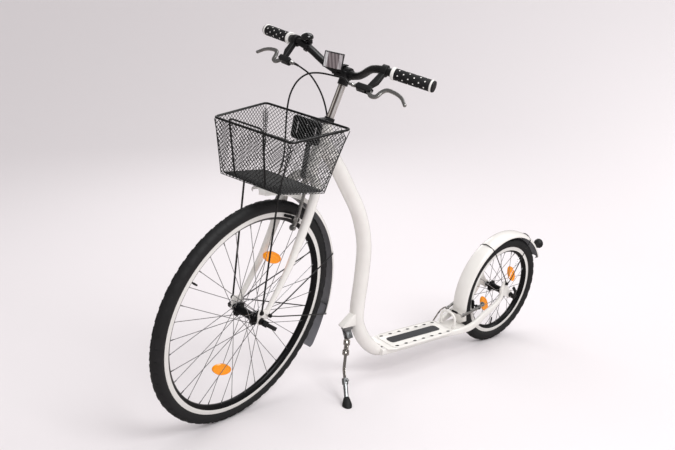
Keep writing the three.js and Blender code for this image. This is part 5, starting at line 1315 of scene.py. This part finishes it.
def basket_hoop():
    """The wire loop on the basket's front."""
    h = BASKET_HOOP
    (_, y0, z0), (_, y1, z1) = BASKET_FRONT["floor"], BASKET_FRONT["rim"]
    foot, top = point(h["foot"], y0 - 3, z0 + 4), point(h["half"], y1 - h["out"], z1 + h["rise"])
    left = [foot, foot.lerp(top, 0.5), top]
    return rounded_wire([*left, *opposite(left)], h["radius"], h["bend"])


BASKET_STAY = {"low": (58.5, -5, 377), "top": 64, "turn_in": 40, "back": -34, "under": 5, "radius": 2.8}


def basket_stay(side):
    """The wire from the fork's tip up to the basket floor, with its eye and bolt."""
    s = BASKET_STAY
    x, y, z = s["low"]
    low = point(side * x, y, z)
    (_, front_y, front_z), (_, rear_y, rear_z) = BASKET_FRONT["floor"], BASKET_REAR["floor"]
    level = lerp(front_z, rear_z, (s["back"] - front_y) / (rear_y - front_y)) - s["under"]
    top, inner = (BASKET_TURN @ point(side * out, s["back"], level) for out in (s["top"], s["turn_in"]))
    wire = rounded_wire([low, top, inner], s["radius"], STAY["bend"])
    eye = pin(low, ACROSS, 2.6, 7, 32)
    out = Vector((side, 0, 0))
    bolt = rod(low - out * 2 * MM, low + out * 5.4 * MM, 4.5, 6)
    return smooth(joined(wire, round_edges(eye, 0.6 * MM), bolt))


BASKET_TURN = (Matrix.Translation(point(0, 0, BASKET["tilt_height"]))
               @ Matrix.Rotation(math.radians(BASKET["tilt"]), 4, "Y")
               @ Matrix.Translation(point(0, 0, -BASKET["tilt_height"])))


class AddBasket(bpy.types.Operator):
    """Adds the mesh basket with its rim, wires, front hoop and stays."""

    bl_idname = "kick_bike.basket"
    bl_label = "Basket"

    def execute(self, context):
        coat = finish(powder_coat)
        place = FRONT @ BASKET_TURN
        for name, piece in basket_panels():
            finished(piece, f"basket_{name}_mesh", place, "steering", coat, [f"basket_{name}"])
        finished(basket_frame(), "basket_rim_wire", place, "steering", coat, ["basket_rim"])
        finished(basket_hoop(), "basket_hoop", place, "steering", coat, slot="black_steel")
        for name, side in (("left", 1), ("right", -1)):
            finished(basket_stay(side), f"basket_stay_{name}_wire", FRONT, "steering", coat,
                     [f"basket_stay_{name}"])
        return {"FINISHED"}


# Cockpit
STEM = {"clamp": 19, "clamp_at": 1054, "ahead": 14}
BAR = {"radius": 11.1, "middle": 12.7, "middle_half": 33, "bend": 152, "grip": 183, "end": 301}
BAR_RISE = {"ahead": 43, "up": 50, "sweep": 28, "fall": 3}
RISE_SHARES = ((1, 0), (1.75, 0.14), (2.5, 0.42), (3.05, 0.67), (3.6, 0.86))
BAR_CENTRE = on_axis(STEM["clamp_at"]) - point(0, STEM["ahead"], 0)
BAR_BEND = BAR_CENTRE + point(BAR["bend"], -BAR_RISE["ahead"], BAR_RISE["up"])
BAR_END = Vector((BAR["end"] * MM, *(BAR_BEND.yz + Vector((BAR_RISE["sweep"], -BAR_RISE["fall"])) * MM)))
BAR_WAY = (BAR_END - BAR_BEND).normalized()
BAR_TILT = 1.7
BAR_TURN = (Matrix.Translation(BAR_CENTRE) @ Matrix.Rotation(math.radians(BAR_TILT), 4, "Y")
            @ Matrix.Translation(-BAR_CENTRE))
GRIP = {"radius": 16, "collar": 18, "bore": 11.8, "rows": 6, "first_row": 21, "proud": 0.85, "sunk": 0.6}
CONTROL = {"at": 8, "arm": 7.5, "pivot_in": 12, "pivot_down": 72, "tilt": 47}
BODY = {"reach": 34, "half": 10, "nozzle": 26}
LEVER = {"thick": 3.9, "wide": 6.4, "hub": 8, "tip": 4.2, "ball": 5, "reach": 112}
LEVER_SHARES = (
    (0, 0), (0.13, 0.13), (0.25, 0.11), (0.33, -0.06), (0.42, -0.15), (0.7, -0.13), (0.86, -0.06), (0.94, 0.02),
    (1, 0.08),
)


def on_bar(x):
    """The place on the left grip's straight line."""
    return BAR_BEND + BAR_WAY * ((x * MM - BAR_BEND.x) / BAR_WAY.x)


def rise_places():
    """The bends between the clamp and the left grip."""
    return [BAR_CENTRE + point(x * BAR["middle_half"], -up * BAR_RISE["ahead"], up * BAR_RISE["up"])
            for x, up in RISE_SHARES]


def bar_piece():
    """The low rise bar with its thicker middle."""
    left = [*rise_places(), BAR_BEND, on_bar(BAR["grip"]), BAR_END]
    body = pipe([*opposite(left), BAR_CENTRE, *left], BAR["radius"], 160, 32)
    inside, half = BAR["radius"] - 0.5, BAR["middle_half"]
    profile = [(inside, -half - 7), (BAR["middle"], -half), (BAR["middle"], half), (inside, half + 7)]
    middle = turned(profile, Matrix.Translation(BAR_CENTRE), 48)
    return joined(body, middle)


def grip_frame():
    """The frame of the left grip with X out along it, and the grip's length in millimetres."""
    start = on_bar(BAR["grip"])
    return aim(start, BAR_WAY), (BAR_END - start).length / MM


def grip_sleeve():
    """The left rubber grip."""
    place, length = grip_frame()
    r = GRIP["radius"]
    profile = [(11.6, 9), (r - 0.6, 9), (r, 10), (r, length - 8), (r - 0.5, length - 7), (11.6, length - 7)]
    return turned(profile, place, 64)


def grip_dots():
    """Rows of small white dots moulded into the grip."""
    place, length = grip_frame()
    size = bpy.context.scene.kick_bike_sizes.dot / MM
    rows, first = GRIP["rows"], GRIP["first_row"]
    dots = []
    for row in range(rows):
        for k in range(rows):
            way = radial(360 * (k + 0.5 * (row % 2)) / rows)
            along = first + row * (length - 2 * first) / (rows - 1)
            centre = point(along, 0, 0) + way * (GRIP["radius"] - GRIP["sunk"]) * MM
            dots.append(rod(place @ centre, place @ (centre + way * GRIP["proud"] * MM), size, 20))
    return joined(*dots)


def grip_collars():
    """The white inner collar and outer ring of the grip."""
    place, length = grip_frame()
    c, bore = GRIP["collar"], GRIP["bore"]
    inner = turned([(bore, 0), (c - 1, 0), (c, 1), (c, 7.6), (c - 1.2, 9), (bore, 9), (bore, 0)], place, 64)
    outer = turned([(bore, length - 7), (16.2, length - 7), (17.1, length - 6), (17.1, length - 2.4),
                    (16.2, length - 1.4), (bore, length - 1.4), (bore, length - 7)], place, 64)
    return joined(inner, outer)


def grip_cap():
    """The black end cap of the grip."""
    place, length = grip_frame()
    return turned([(0, length - 1.2), (15.8, length - 1.2), (16, length + 1), (15, length + 3), (12, length + 4),
                   (0, length + 4.2)], place, 64)


def control_frame():
    """The frame of the left brake control: X out along the bar and Z down towards the lever."""
    tilt = math.radians(CONTROL["tilt"])
    return aim(on_bar(BAR["bend"] + CONTROL["at"]), BAR_WAY, Vector((0, -math.cos(tilt), -math.sin(tilt))))


def in_control(along, down, side=0):
    """A place in the brake control's own frame, in millimetres."""
    return control_frame() @ point(along, side, down)


def brake_lever():
    """The forged left lever with its knuckle and ball end."""
    r = LEVER["reach"]
    frame_of_lever = control_frame()
    side = (frame_of_lever.to_3x3() @ Vector((0, 1, 0))).normalized()
    places = [in_control(a * r - CONTROL["pivot_in"], d * r + CONTROL["pivot_down"]) for a, d in LEVER_SHARES]
    rings = rings_along(
        places, 60, lambda t: rounded_box(LEVER["thick"], lerp(LEVER["wide"], LEVER["tip"], t), 2.4, 4), side)
    blade_piece = swept(rings)
    pivot = in_control(-CONTROL["pivot_in"], CONTROL["pivot_down"])
    knuckle = round_edges(pin(pivot, side, LEVER["thick"], LEVER["hub"], 40), 0.8 * MM)
    bpy.ops.mesh.primitive_uv_sphere_add(segments=24, ring_count=14, radius=LEVER["ball"] * MM, location=places[-1])
    ball = bpy.context.object
    return smooth(joined(blade_piece, knuckle, ball))


def lever_bracket():
    """The black left brake control: clamp ring, arm, body with its slot, and pin."""
    c, b = CONTROL, BODY
    place = control_frame()
    bore = GRIP["bore"]
    ring = turned([(bore, -8), (15.6, -8), (16.5, -7), (16.5, 7), (15.6, 8), (bore, 8), (bore, -8)], place, 48)
    turn = place @ Matrix(((1, 0, 0, 0), (0, 0, 1, 0), (0, 1, 0, 0), (0, 0, 0, 1)))
    px, pd = c["pivot_in"], c["pivot_down"]
    arm = plate([(7.2, 12), (-8, 12), (-px - 8, pd - 9), (-px, pd - 4.5), (3.2, pd * 0.62)], c["arm"], turn)
    body = plate([(-px + 10, pd - 9), (-px - 34, pd - 9), (-px - 38.5, pd), (-px - 34, pd + 9), (-px, pd + 9),
                  (-px + 10, pd + 4.5)], b["half"], turn)
    for piece in (arm, body):
        round_edges(piece, 2.2 * MM, 4)
    slot = block(place @ Matrix.Translation(point(13 - px, 0, pd + 13)), 22, 4.2, 22)
    body = cut(body, slot)
    clamp_ear = block(place @ Matrix.Translation(point(0, 0, 19.5)), 5, 7, 5)
    round_edges(clamp_ear, 1.5 * MM, 3)
    axle = rod(in_control(-px, pd, -10.6), in_control(-px, pd, 10.6), 3.4, 24)
    return smooth(joined(ring, arm, body, clamp_ear, round_edges(axle, 0.5 * MM)))


def adjuster():
    """The knurled barrel adjuster on the brake control."""
    start = -CONTROL["pivot_in"] - BODY["reach"] - 4
    places = [in_control(start - d, CONTROL["pivot_down"]) for d in (0, 22)]
    way = (places[1] - places[0]).normalized()
    profile = [(0, 0), (4.6, 0), (4.6, 3), (5.6, 3.4)]
    for i in range(5):
        profile += [(5.8, 4 + i * 1.7), (5.1, 4.7 + i * 1.7)]
    profile += [(5.2, 13), (4.0, 14), (3.7, 22), (0, 22)]
    return turned(profile, aim(places[0], way), 32)


class AddCockpit(bpy.types.Operator):
    """Adds the handlebar, grips, brake controls and levers."""

    bl_idname = "kick_bike.cockpit"
    bl_label = "Handlebar"

    def execute(self, context):
        place = FRONT @ BAR_TURN
        finished(bar_piece(), "handlebar_bent", place, "steering", finish(powder_coat), ["handlebar"])
        groups = (
            (grip_sleeve, "grip_sleeve", grip_rubber, "grip", "rubber", "steering"),
            (grip_dots, "grip_dots", white_plastic, None, "clear_lens", "steering"),
            (grip_collars, "grip_collars", white_plastic, "grip", "rubber", "steering"),
            (grip_cap, "grip_cap", moulded_plastic, "grip", "rubber", "steering"),
            (lever_bracket, "control_body", moulded_plastic, "lever_bracket", "black_plastic", "steering"),
            (adjuster, "cable_adjuster", forged_alloy, None, "alloy", "steering"),
            (brake_lever, "brake_lever_forged", forged_alloy, "lever", "alloy", "lever"),
        )
        for make, name, maker, stands_for, slot, body in groups:
            left = make()
            right = mirror_copy(left)
            for side, piece in (("left", left), ("right", right)):
                replaced = [f"{side}_{stands_for}"] if stands_for else []
                finished(piece, f"{side}_{name}", place, body if body == "steering" else f"{side}_{body}",
                         finish(maker), replaced, slot)
        return {"FINISHED"}


# Front reflector and bell
LAMP = {"half": 28, "tall": 45, "depth": 12, "ahead": 62, "rise": 34, "facet": 4, "chamfer": 12, "yaw": 25}
BELL = {"rise": 17.5, "dome": 19, "tall": 18, "lip": 4, "bore": 11.9, "ring": 15, "half": 5, "stem": 6, "base": 5}


def lamp_place():
    """The frame of the front reflector: X across, Y to the back and Z up."""
    centre = BAR_CENTRE + point(0, -LAMP["ahead"], LAMP["rise"])
    return Matrix.Translation(centre) @ Matrix.Rotation(math.radians(LAMP["yaw"]), 4, "Z")


def lamp_case():
    """The black case behind the three facets, with its frame standing a little proud, and its arm."""
    l = LAMP
    outline = [(-l["half"], l["facet"] - 0.6), (l["chamfer"] - l["half"], -0.6), (l["half"] - l["chamfer"], -0.6),
               (l["half"], l["facet"] - 0.6), (l["half"], l["depth"]), (-l["half"], l["depth"])]
    case = round_edges(plate(outline, l["tall"] / 2, lamp_place()), 0.8 * MM)
    inner = [(1.8 - l["half"], l["facet"] + 0.9), (l["chamfer"] - l["half"], 0.9), (l["half"] - l["chamfer"], 0.9),
             (l["half"] - 1.8, l["facet"] + 0.9), (l["half"] - 1.8, -6), (1.8 - l["half"], -6)]
    case = cut(case, plate(inner, l["tall"] / 2 - 1.8, lamp_place()))
    back = lamp_place() @ point(0, l["depth"] - 1, -l["tall"] / 2 + 4)
    foot = BAR_CENTRE + point(0, 0, STEM["clamp"] + GAP + 2)
    arm = block(aim((back + foot) / 2, ACROSS, foot - back), 7, 2, (foot - back).length / MM / 2)
    pad_piece = block(Matrix.Translation(foot), 7, 7, 2)
    return smooth(joined(case, round_edges(arm, 0.8 * MM), round_edges(pad_piece, 0.8 * MM)))


def lamp_facets():
    """The three bright lens facets, ribbed upright."""
    l = LAMP
    edges = [(2 - l["half"], l["facet"] + 0.2), (l["chamfer"] - l["half"], 0.2), (l["half"] - l["chamfer"], 0.2),
             (l["half"] - 2, l["facet"] + 0.2)]
    for (x0, y0), (x1, y1) in zip(edges, edges[1:]):
        outline = [(x0, y0), (x1, y1), (x1, y1 + 3), (x0, y0 + 3)]
        yield smooth(plate(outline, l["tall"] / 2 - 2, lamp_place()), 2)


def bell_piece():
    """A domed bell with its clamp ring, on the right of the bar."""
    b = BELL
    end, foot, before = opposite([*rise_places()[-2:], BAR_BEND])
    way = Vector((-0.12, -0.25, 1)).normalized()
    bore, reach, half = b["bore"], b["ring"], b["half"]
    ring = turned([(bore, -half), (reach - 0.8, -half), (reach, 0.8 - half), (reach, half - 0.8), (reach - 0.8, half),
                   (bore, half), (bore, -half)], aim(foot, (end - before).normalized()), 48)
    base = foot + way * (b["rise"] + b["base"]) * MM
    stem = rod(foot + way * 11.5 * MM, base, b["stem"], 24)
    wide, lip, steps = b["dome"], b["lip"], 12
    dome = [(0, 0), (wide - 3.5, 0), (wide - 0.8, 0.6), (wide, 1.8), (wide, lip)]
    for i in range(1, steps):
        a = math.radians(90 * i / steps)
        dome.append((wide * math.cos(a), lip + (b["tall"] - lip) * math.sin(a)))
    cap = turned([*dome, (0, b["tall"])], aim(base, way), 64)
    return joined(ring, stem, cap)


class AddFittings(bpy.types.Operator):
    """Adds the front reflector and the bell."""

    bl_idname = "kick_bike.fittings"
    bl_label = "Reflector and bell"

    def execute(self, context):
        plastic = finish(moulded_plastic)
        finished(lamp_case(), "handlebar_reflector_case", FRONT, "steering", plastic, ["handlebar_reflector"],
                 "black_plastic")
        # Each facet gets its own pair of colours as painted reflection: bright on the right, dark in the middle, grey
        # on the left.
        for facet, side, shade in zip(
                lamp_facets(), ("right", "middle", "left"),
                (("#d8d6d8", "#fdfdfe"), ("#6a6063", "#9a9092"), ("#a09a9d", "#c4bfc2"))):
            finished(facet, "handlebar_reflector_lens_" + side, FRONT, "steering", clear_lens(*shade),
                     ["handlebar_reflector"])
        finished(bell_piece(), "bell_dome", FRONT @ BAR_TURN, "steering", finish(glossy_black), ["bell"])
        return {"FINISHED"}


# Brakes
BRAKE = {"inset": 25, "arm": 116, "wire_at": 109, "half": 5, "top": 3.6, "hub": 9, "boss": 7.6, "pivot_at": 44}
BRAKE_BOW = ((0, BRAKE["pivot_at"]), (BRAKE["inset"], 47), (BRAKE["arm"] / 2, 44), (BRAKE["arm"], 38))
PAD = {"half": 19.5, "tall": 4, "gap": 1.6, "lower": 2.6, "upper": 2.4, "upper_at": 7.4}
BRAKES = (
    {"end": "front", "hub": FRONT_HUB, "track": 309, "pivot": 73, "arm": 73, "place": FRONT},
    {"end": "rear", "hub": REAR_HUB, "track": 175, "pivot": 189.6, "arm": 197, "place": FRAME},
)


def brake_pivot(brake):
    """The left pivot of a brake, and the directions of its arm and its pin."""
    pivot = brake["hub"] + radial(brake["pivot"]) * (brake["track"] - BRAKE["inset"]) * MM
    pivot.x = BRAKE["pivot_at"] * MM
    return pivot, radial(brake["arm"]), radial(brake["arm"] + 90 if brake["end"] == "front" else brake["arm"] - 90)


def on_brake(brake, along, out=0):
    """A place on a brake: millimetres from the pivots along the arms, and out from the middle."""
    pivot, way, _ = brake_pivot(brake)
    return Vector((out * MM, pivot.y, pivot.z)) + way * along * MM


def brake_arm(brake):
    """The forged left arm with its knuckle and the boss for the pad."""
    pivot, _, axis = brake_pivot(brake)
    places = [on_brake(brake, along, out) for along, out in BRAKE_BOW]
    half, top = BRAKE["half"], BRAKE["top"]
    arm = swept(rings_along(places, 40, lambda t: rounded_box(half, lerp(half, top, t), 2.2, 3), axis))
    knuckle = round_edges(pin(pivot, axis, half, BRAKE["hub"], 48), MM, 3)
    boss = round_edges(pin(places[1], axis, half + 1, BRAKE["boss"], 40), MM, 3)
    return smooth(joined(arm, knuckle, boss))


def brake_pad(brake):
    """The left black pad with its stud and dished washers."""
    way, p = brake_pivot(brake)[1], PAD
    face = RIM_HALF + p["gap"]

    def out(distance):
        return on_brake(brake, BRAKE["inset"], distance)

    pads = [round_edges(block(aim(out(face + middle), ACROSS, way), thick, long, tall), 0.9 * MM, 3)
            for middle, thick, long, tall in ((p["lower"], p["lower"], p["half"], p["tall"]),
                                              (p["upper_at"], p["upper"], p["half"] - 1.5, p["tall"] - 0.8))]
    stud = rod(out(face + 9), out(55), 3, 20)
    cups = [rod(out(a), out(b), r0, 32, r1)
            for a, b, r0, r1 in ((34, 37.5, 7, 5.5), (37.5, 41, 5.5, 7), (52, 54, 6, 5))]
    return smooth(joined(*pads, stud, *cups))


def brake_bolt(brake):
    """The steel bolt head on the left pivot, and the pinch bolt at the arm's end."""
    pivot, _, axis = brake_pivot(brake)
    outward = axis * (-1 if brake["end"] == "front" else 1)
    face = pivot + outward * BRAKE["half"] * MM
    head = round_edges(rod(face, face + outward * 3.2 * MM, 5.6, 32), 0.6 * MM)
    pinch = round_edges(pin(on_brake(brake, BRAKE["arm"] - 12, 38.6), axis, 7, 3.6, 6), 0.4 * MM)
    return smooth(joined(head, pinch))


class AddBrakes(bpy.types.Operator):
    """Adds the arms, pads and bolts of both rim brakes."""

    bl_idname = "kick_bike.brakes"
    bl_label = "Brakes"

    def execute(self, context):
        for brake in BRAKES:
            for make, name, maker, slot in (
                (brake_arm, "arm_forged", forged_alloy, "alloy"),
                (brake_pad, "pad", moulded_plastic, "black_plastic"),
                (brake_bolt, "bolts", zinc_plate, "zinc"),
            ):
                left = make(brake)
                right = mirror_copy(left)
                for side, piece in (("left", left), ("right", right)):
                    body = f"{brake['end']}_{side}_arm"
                    finished(piece, f"{brake['end']}_{side}_brake_{name}", brake["place"], body, finish(maker),
                             [body] if name != "bolts" else [], slot)
        return {"FINISHED"}


# Cables
FRONT_CABLE = (
    (76, 149, 1056), (36, 150, 1055), (-19, 150, 1049), (-56, 150, 1036), (-85, 150, 1009), (-102, 150, 970),
    (-105, 150, 930), (-99, 150, 877), (-91, 150, 826), (-85, 148, 780), (-83, 142, 755),
)
FRONT_NOODLE = ((-83, 142, 755), (-80, 134, 738), (-70, 122, 727))
REAR_CABLE = (
    (-84, 160, 1048), (-62, 175, 1034), (-37, 200, 993), (-22, 216, 950), (-20, 227, 915), (-27, 231, 888),
    (-31, 241, 862), (-33, 254, 830), (-22.5, 265, 809), (-12, 276, 788), (0, 318, 742), (0, 360, 690),
    (0, 414, 613), (0, 447, 517), (0, 465, 415), (0, 471, 306), (0, 490, 212), (0, 535, 134), (0, 586, 104),
    (0, 640, 99), (-5, 760, 97), (-9, 820, 92), (-18, 858, 82), (-31, 892, 77), (-46, 922, 69), (-64, 952, 71),
    (-71, 980, 95), (-70, 998, 122), (-65, 1007, 143),
)
REAR_NOODLE = REAR_CABLE[-3:]
CABLE = {"radius": 2.5, "noodle": 3, "noodle_end": 42.8, "wire": 0.9, "boot": 4.2, "sleeve": 3.4, "sleeve_length": 13}


def cable_start(side):
    """The end of the brake control's barrel."""
    place = in_control(-CONTROL["pivot_in"] - BODY["reach"] - BODY["nozzle"] - 6 * GAP, CONTROL["pivot_down"])
    place.x *= side
    return BAR_TURN @ place


def link(brake):
    """The place between the arms where the inner wire crosses."""
    return on_brake(brake, BRAKE["wire_at"])


def noodle(brake, route):
    """The bent metal tube that leads the wire across to the arms, in polished steel."""
    middle = link(brake)
    end = middle - ACROSS * CABLE["noodle_end"] * MM
    return pipe([*[point(*place) for place in route], end - ACROSS * 4.2 * MM, end], CABLE["noodle"], 40, 20)


def boot(brake):
    """The ribbed rubber boot over the wire between the arms."""
    middle = link(brake)
    profile = [(0.9, -13), (2.6, -13)]
    for i in range(7):
        x = -12 + i * 3.6
        profile += [(CABLE["boot"], x), (CABLE["boot"], x + 1.4), (3.0, x + 2.2), (3.0, x + 3)]
    profile += [(2.6, 13.6), (0.9, 13.6)]
    sleeve = turned(profile, Matrix.Translation(middle), 24)
    wire = rod(middle - ACROSS * 44 * MM, middle + ACROSS * 48 * MM, CABLE["wire"], 12)
    return joined(sleeve, wire)


def ferrule(here, there):
    """A short crimped sleeve on a cable's end."""
    way = (there - here).normalized()
    return rod(here - way * MM, here + way * CABLE["sleeve_length"] * MM, CABLE["sleeve"], 24)


class AddCables(bpy.types.Operator):
    """Adds both brake cables with their noodles, boots and sleeves."""

    bl_idname = "kick_bike.cables"
    bl_label = "Cables"

    def execute(self, context):
        casing = finish(cable_casing)
        start = cable_start(1)
        places = [start, *[point(*place) for place in FRONT_CABLE]]
        sleeves = ferrule(places[-1], places[-2]), ferrule(places[0], places[1])
        front = joined(pipe(places, CABLE["radius"], 150, 20), *sleeves)
        finished(front, "front_cable_casing", FRONT, "steering", casing, ["front_brake_cable"])
        steering, rear = BRAKES
        finished(noodle(steering, FRONT_NOODLE), "front_cable_noodle", FRONT, "steering", finish(chrome_plate),
                 slot="chrome")
        finished(boot(steering), "front_cable_boot", FRONT, "steering", finish(grip_rubber), slot="rubber")
        start = FRAME.inverted() @ FRONT @ cable_start(-1)
        places = [start, *[point(*place) for place in REAR_CABLE]]
        cable = joined(pipe(places, CABLE["radius"], 240, 20), ferrule(places[0], places[1]))
        dressed_cable(cable, "rear_cable_casing", casing)
        finished(noodle(rear, REAR_NOODLE), "rear_cable_noodle", FRAME, "frame", finish(chrome_plate), slot="chrome")
        finished(boot(rear), "rear_cable_boot", FRAME, "frame", finish(grip_rubber), slot="rubber")
        return {"FINISHED"}


def dressed_cable(piece, name, casing):
    """Lays the rear cable, which runs from the steering to the frame above its port, and hides the node that it stands
    for.
    """
    laid(piece, name, FRAME, casing)
    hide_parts("rear_brake_cable")
    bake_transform(piece)


# Small parts
STAND = {"pivot": (BRACKET["side"], BRACKET["front"], 189), "out": 37.5, "ahead": 34.3, "collars": (22, 57),
         "collar_half": 7.7}
DECK_HOLE = {"count": 7, "first": 661, "pitch": 46.3, "offset": 40.5, "half": 9.2, "across": 4.7, "top": 114.9,
             "thick": 0.7}


def blacken_collars(leg):
    """Gives black nylon to the faces of the stand's leg that lie within a collar's half length of 22 and 57 mm along
    it, the collars' given middles.
    """
    leg.data.materials.append(finish(moulded_plastic))
    pivot = point(*STAND["pivot"])
    way = Vector((math.tan(math.radians(STAND["out"])), -math.tan(math.radians(STAND["ahead"])), -1)).normalized()
    upright_frame = FRAME.inverted()
    for face in leg.data.polygons:
        along = (upright_frame @ face.center - pivot).dot(way) / MM
        if any(abs(along - middle) < STAND["collar_half"] for middle in STAND["collars"]):
            face.material_index = 1


def hole_shade_discs():
    """Thin black discs in the deck's two rows of long holes: painted shade inside the holes."""
    d = DECK_HOLE
    shade_discs = []
    for i in range(d["count"]):
        for side in (1, -1):
            place = Matrix.Translation(point(side * d["offset"], d["first"] + i * d["pitch"], d["top"] - d["thick"]))
            shade_discs.append(plate(ellipse(d["across"], d["half"], 28), d["thick"], place))
    return smooth(joined(*shade_discs))


class AddSmallParts(bpy.types.Operator):
    """Adds black discs in the deck's holes as painted shade."""

    bl_idname = "kick_bike.small_parts"
    bl_label = "Small parts"

    def execute(self, context):
        # Black grip rubber in the holes stands for the shade inside them.
        finished(hole_shade_discs(), "deck_hole_shade", FRAME, "frame", finish(grip_rubber), slot="rubber")
        return {"FINISHED"}


# Nodes whose own shape shows
class DressNodes(bpy.types.Operator):
    """Finishes the nodes whose own shape is right."""

    bl_idname = "kick_bike.nodes"
    bl_label = "Carried over pieces"

    def execute(self, context):
        for name, shown in NODES.items():
            if not shown.hide_render:
                # The stem post takes chrome with painted reflections.
                maker = chrome_stem if name == "stem_post" else FINISH_OF_SLOT[SLOT_OF[name]]
                piece = dressed(name, finish(maker))
                if name == "stand_leg":
                    blacken_collars(piece)
        return {"FINISHED"}


# Stage
CAMERA = {"place": (1662.7, -1312.1, 1310.2), "azimuth": 45.58, "elevation": 17.285, "roll": 9.0,
          "focal": 790.1, "width": 675, "sensor": 36}


class AddStage(bpy.types.Operator):
    """Adds the camera at the photograph's angle, a pale floor and backdrop, and soft studio light."""

    bl_idname = "kick_bike.stage"
    bl_label = "Stage"

    def execute(self, context):
        scene = context.scene
        a, e, r = (math.radians(CAMERA[key]) for key in ("azimuth", "elevation", "roll"))
        back = Vector((math.sin(a) * math.cos(e), -math.cos(a) * math.cos(e), math.sin(e)))
        right = Vector((math.cos(a), math.sin(a), 0))
        up = back.cross(right) * math.cos(r) - right * math.sin(r)
        rows = Matrix((up.cross(back), up, back)).transposed().to_4x4()
        deselect()
        bpy.ops.object.camera_add()
        camera = context.object
        camera.name = "camera"
        camera.matrix_world = FRAME @ Matrix.Translation(point(*CAMERA["place"])) @ rows
        camera.data.sensor_width = CAMERA["sensor"]
        camera.data.lens = CAMERA["sensor"] * CAMERA["focal"] / CAMERA["width"]
        camera.data.clip_start, camera.data.clip_end = 0.05, 100
        scene.camera = camera
        add_sweep()
        add_lights()
        scene.view_settings.view_transform = "Standard"
        return {"FINISHED"}


SWEEP = {"front": -12, "start": 2.2, "radius": 9, "top": 14, "half": 24}
AWAY = Vector((-0.733, 0.68, 0))
LIGHTS = (
    ("key", (3.2, -0.6, 3.6), 2.0, 100), ("top", (0.2, 1.6, 4.2), 3.0, 50), ("rim", (-3.2, 1.6, 2.6), 2.0, 22),
    ("wall", (3.2, 5.2, 3.2), 3.0, 260),
)
LIT_BIKE, LIT_WALL = Vector((0, 0, 0.4)), Vector((-3.4, 9, 3))
WORLD = {"seen": 0.78, "reflected": 0.22, "colour": "#f6f3f3"}


def add_sweep():
    """A paper sweep: a flat floor that curves up into the backdrop behind the kick bike. In reflections it shows a
    darker grey, as painted shade.
    """
    w = SWEEP
    profile = [(w["front"], 0), (w["start"], 0)]
    for i in range(1, 41):
        a = math.radians(90 * i / 40)
        profile.append((w["start"] + w["radius"] * math.sin(a), w["radius"] * (1 - math.cos(a))))
    profile.append((w["start"] + w["radius"], w["top"]))
    across = AWAY.cross(UPWARDS)
    floor = draw_line([AWAY * along - across * w["half"] + UPWARDS * up for along, up in profile])
    bpy.ops.mesh.select_all(action="SELECT")
    bpy.ops.mesh.extrude_region_move(TRANSFORM_OT_translate={"value": across * 2 * w["half"]})
    bpy.ops.object.mode_set(mode="OBJECT")
    tidy_normals(floor)
    smooth(floor)
    floor.name = "studio_sweep"
    material, tree, shader, place = new_material("studio paper")
    # The paper takes a darker grey in glossy rays: painted shade, so that glossy surfaces reflect it dimmer.
    glossy = node(tree, "ShaderNodeLightPath").outputs["Is Glossy Ray"]
    set_inputs(tree, shader, {
        "Base Color": mixed(tree, glossy, chosen("floor"), "#979291"),
        "Roughness": ranged(tree, noise(tree, place, 2, 2), 0.8, 0.95), "Specular IOR Level": 0.1,
    })
    floor.data.materials.append(material)


def add_lights():
    """Large soft boxes above and beside the kick bike, and an even world that is darker in reflections."""
    for name, place, size, power in LIGHTS:
        aimed = LIT_WALL if name == "wall" else LIT_BIKE
        deselect()
        bpy.ops.object.light_add(type="AREA", location=place)
        lamp = bpy.context.object
        lamp.name = name
        lamp.data.size = size
        lamp.data.energy = power
        lamp.rotation_euler = (aimed - Vector(place)).to_track_quat("-Z", "Y").to_euler()
    world = bpy.data.worlds.new("studio")
    bpy.context.scene.world = world
    world.use_nodes = True
    tree = world.node_tree
    glossy = node(tree, "ShaderNodeLightPath").outputs["Is Glossy Ray"]
    strength = node(tree, "ShaderNodeMix", {"Factor": glossy, "A": WORLD["seen"], "B": WORLD["reflected"]})
    set_inputs(tree, tree.nodes["Background"], {"Color": linear(WORLD["colour"]),
                                                "Strength": strength.outputs["Result"]})


class KickBikePanel(bpy.types.Panel):
    """Lists the groups of pieces in the sidebar."""

    bl_idname = "VIEW3D_PT_kick_bike"
    bl_label = "Kick bike"
    bl_space_type = "VIEW_3D"
    bl_region_type = "UI"
    bl_category = "Kick bike"

    def draw(self, context):
        for group in (context.scene.kick_bike_sizes, context.scene.kick_bike_colours):
            for key in group.__annotations__:
                self.layout.prop(group, key)
        for step in STEPS:
            self.layout.operator(step.bl_idname)


STEPS = (AddStage, AddWheels, AddFrame, AddFork, AddFenders, AddBasket, AddCockpit, AddFittings, AddBrakes,
         AddCables, AddSmallParts, DressNodes)
CLASSES = (KickBikeSizes, KickBikeColours, *STEPS, KickBikePanel)


def register():
    """Registers the classes and their values."""
    for entry in CLASSES:
        bpy.utils.register_class(entry)
    bpy.types.Scene.kick_bike_sizes = bpy.props.PointerProperty(type=KickBikeSizes)
    bpy.types.Scene.kick_bike_colours = bpy.props.PointerProperty(type=KickBikeColours)


def unregister():
    """Removes the classes and their values."""
    del bpy.types.Scene.kick_bike_sizes
    del bpy.types.Scene.kick_bike_colours
    for entry in reversed(CLASSES):
        bpy.utils.unregister_class(entry)


def main():
    """Makes every piece in order."""
    register()
    bpy.ops.kick_bike.stage()
    bpy.ops.kick_bike.wheels()
    bpy.ops.kick_bike.frame()
    bpy.ops.kick_bike.fork()
    bpy.ops.kick_bike.fenders()
    bpy.ops.kick_bike.basket()
    bpy.ops.kick_bike.cockpit()
    bpy.ops.kick_bike.fittings()
    bpy.ops.kick_bike.brakes()
    bpy.ops.kick_bike.cables()
    bpy.ops.kick_bike.small_parts()
    bpy.ops.kick_bike.nodes()


if __name__ == "__main__":
    main()
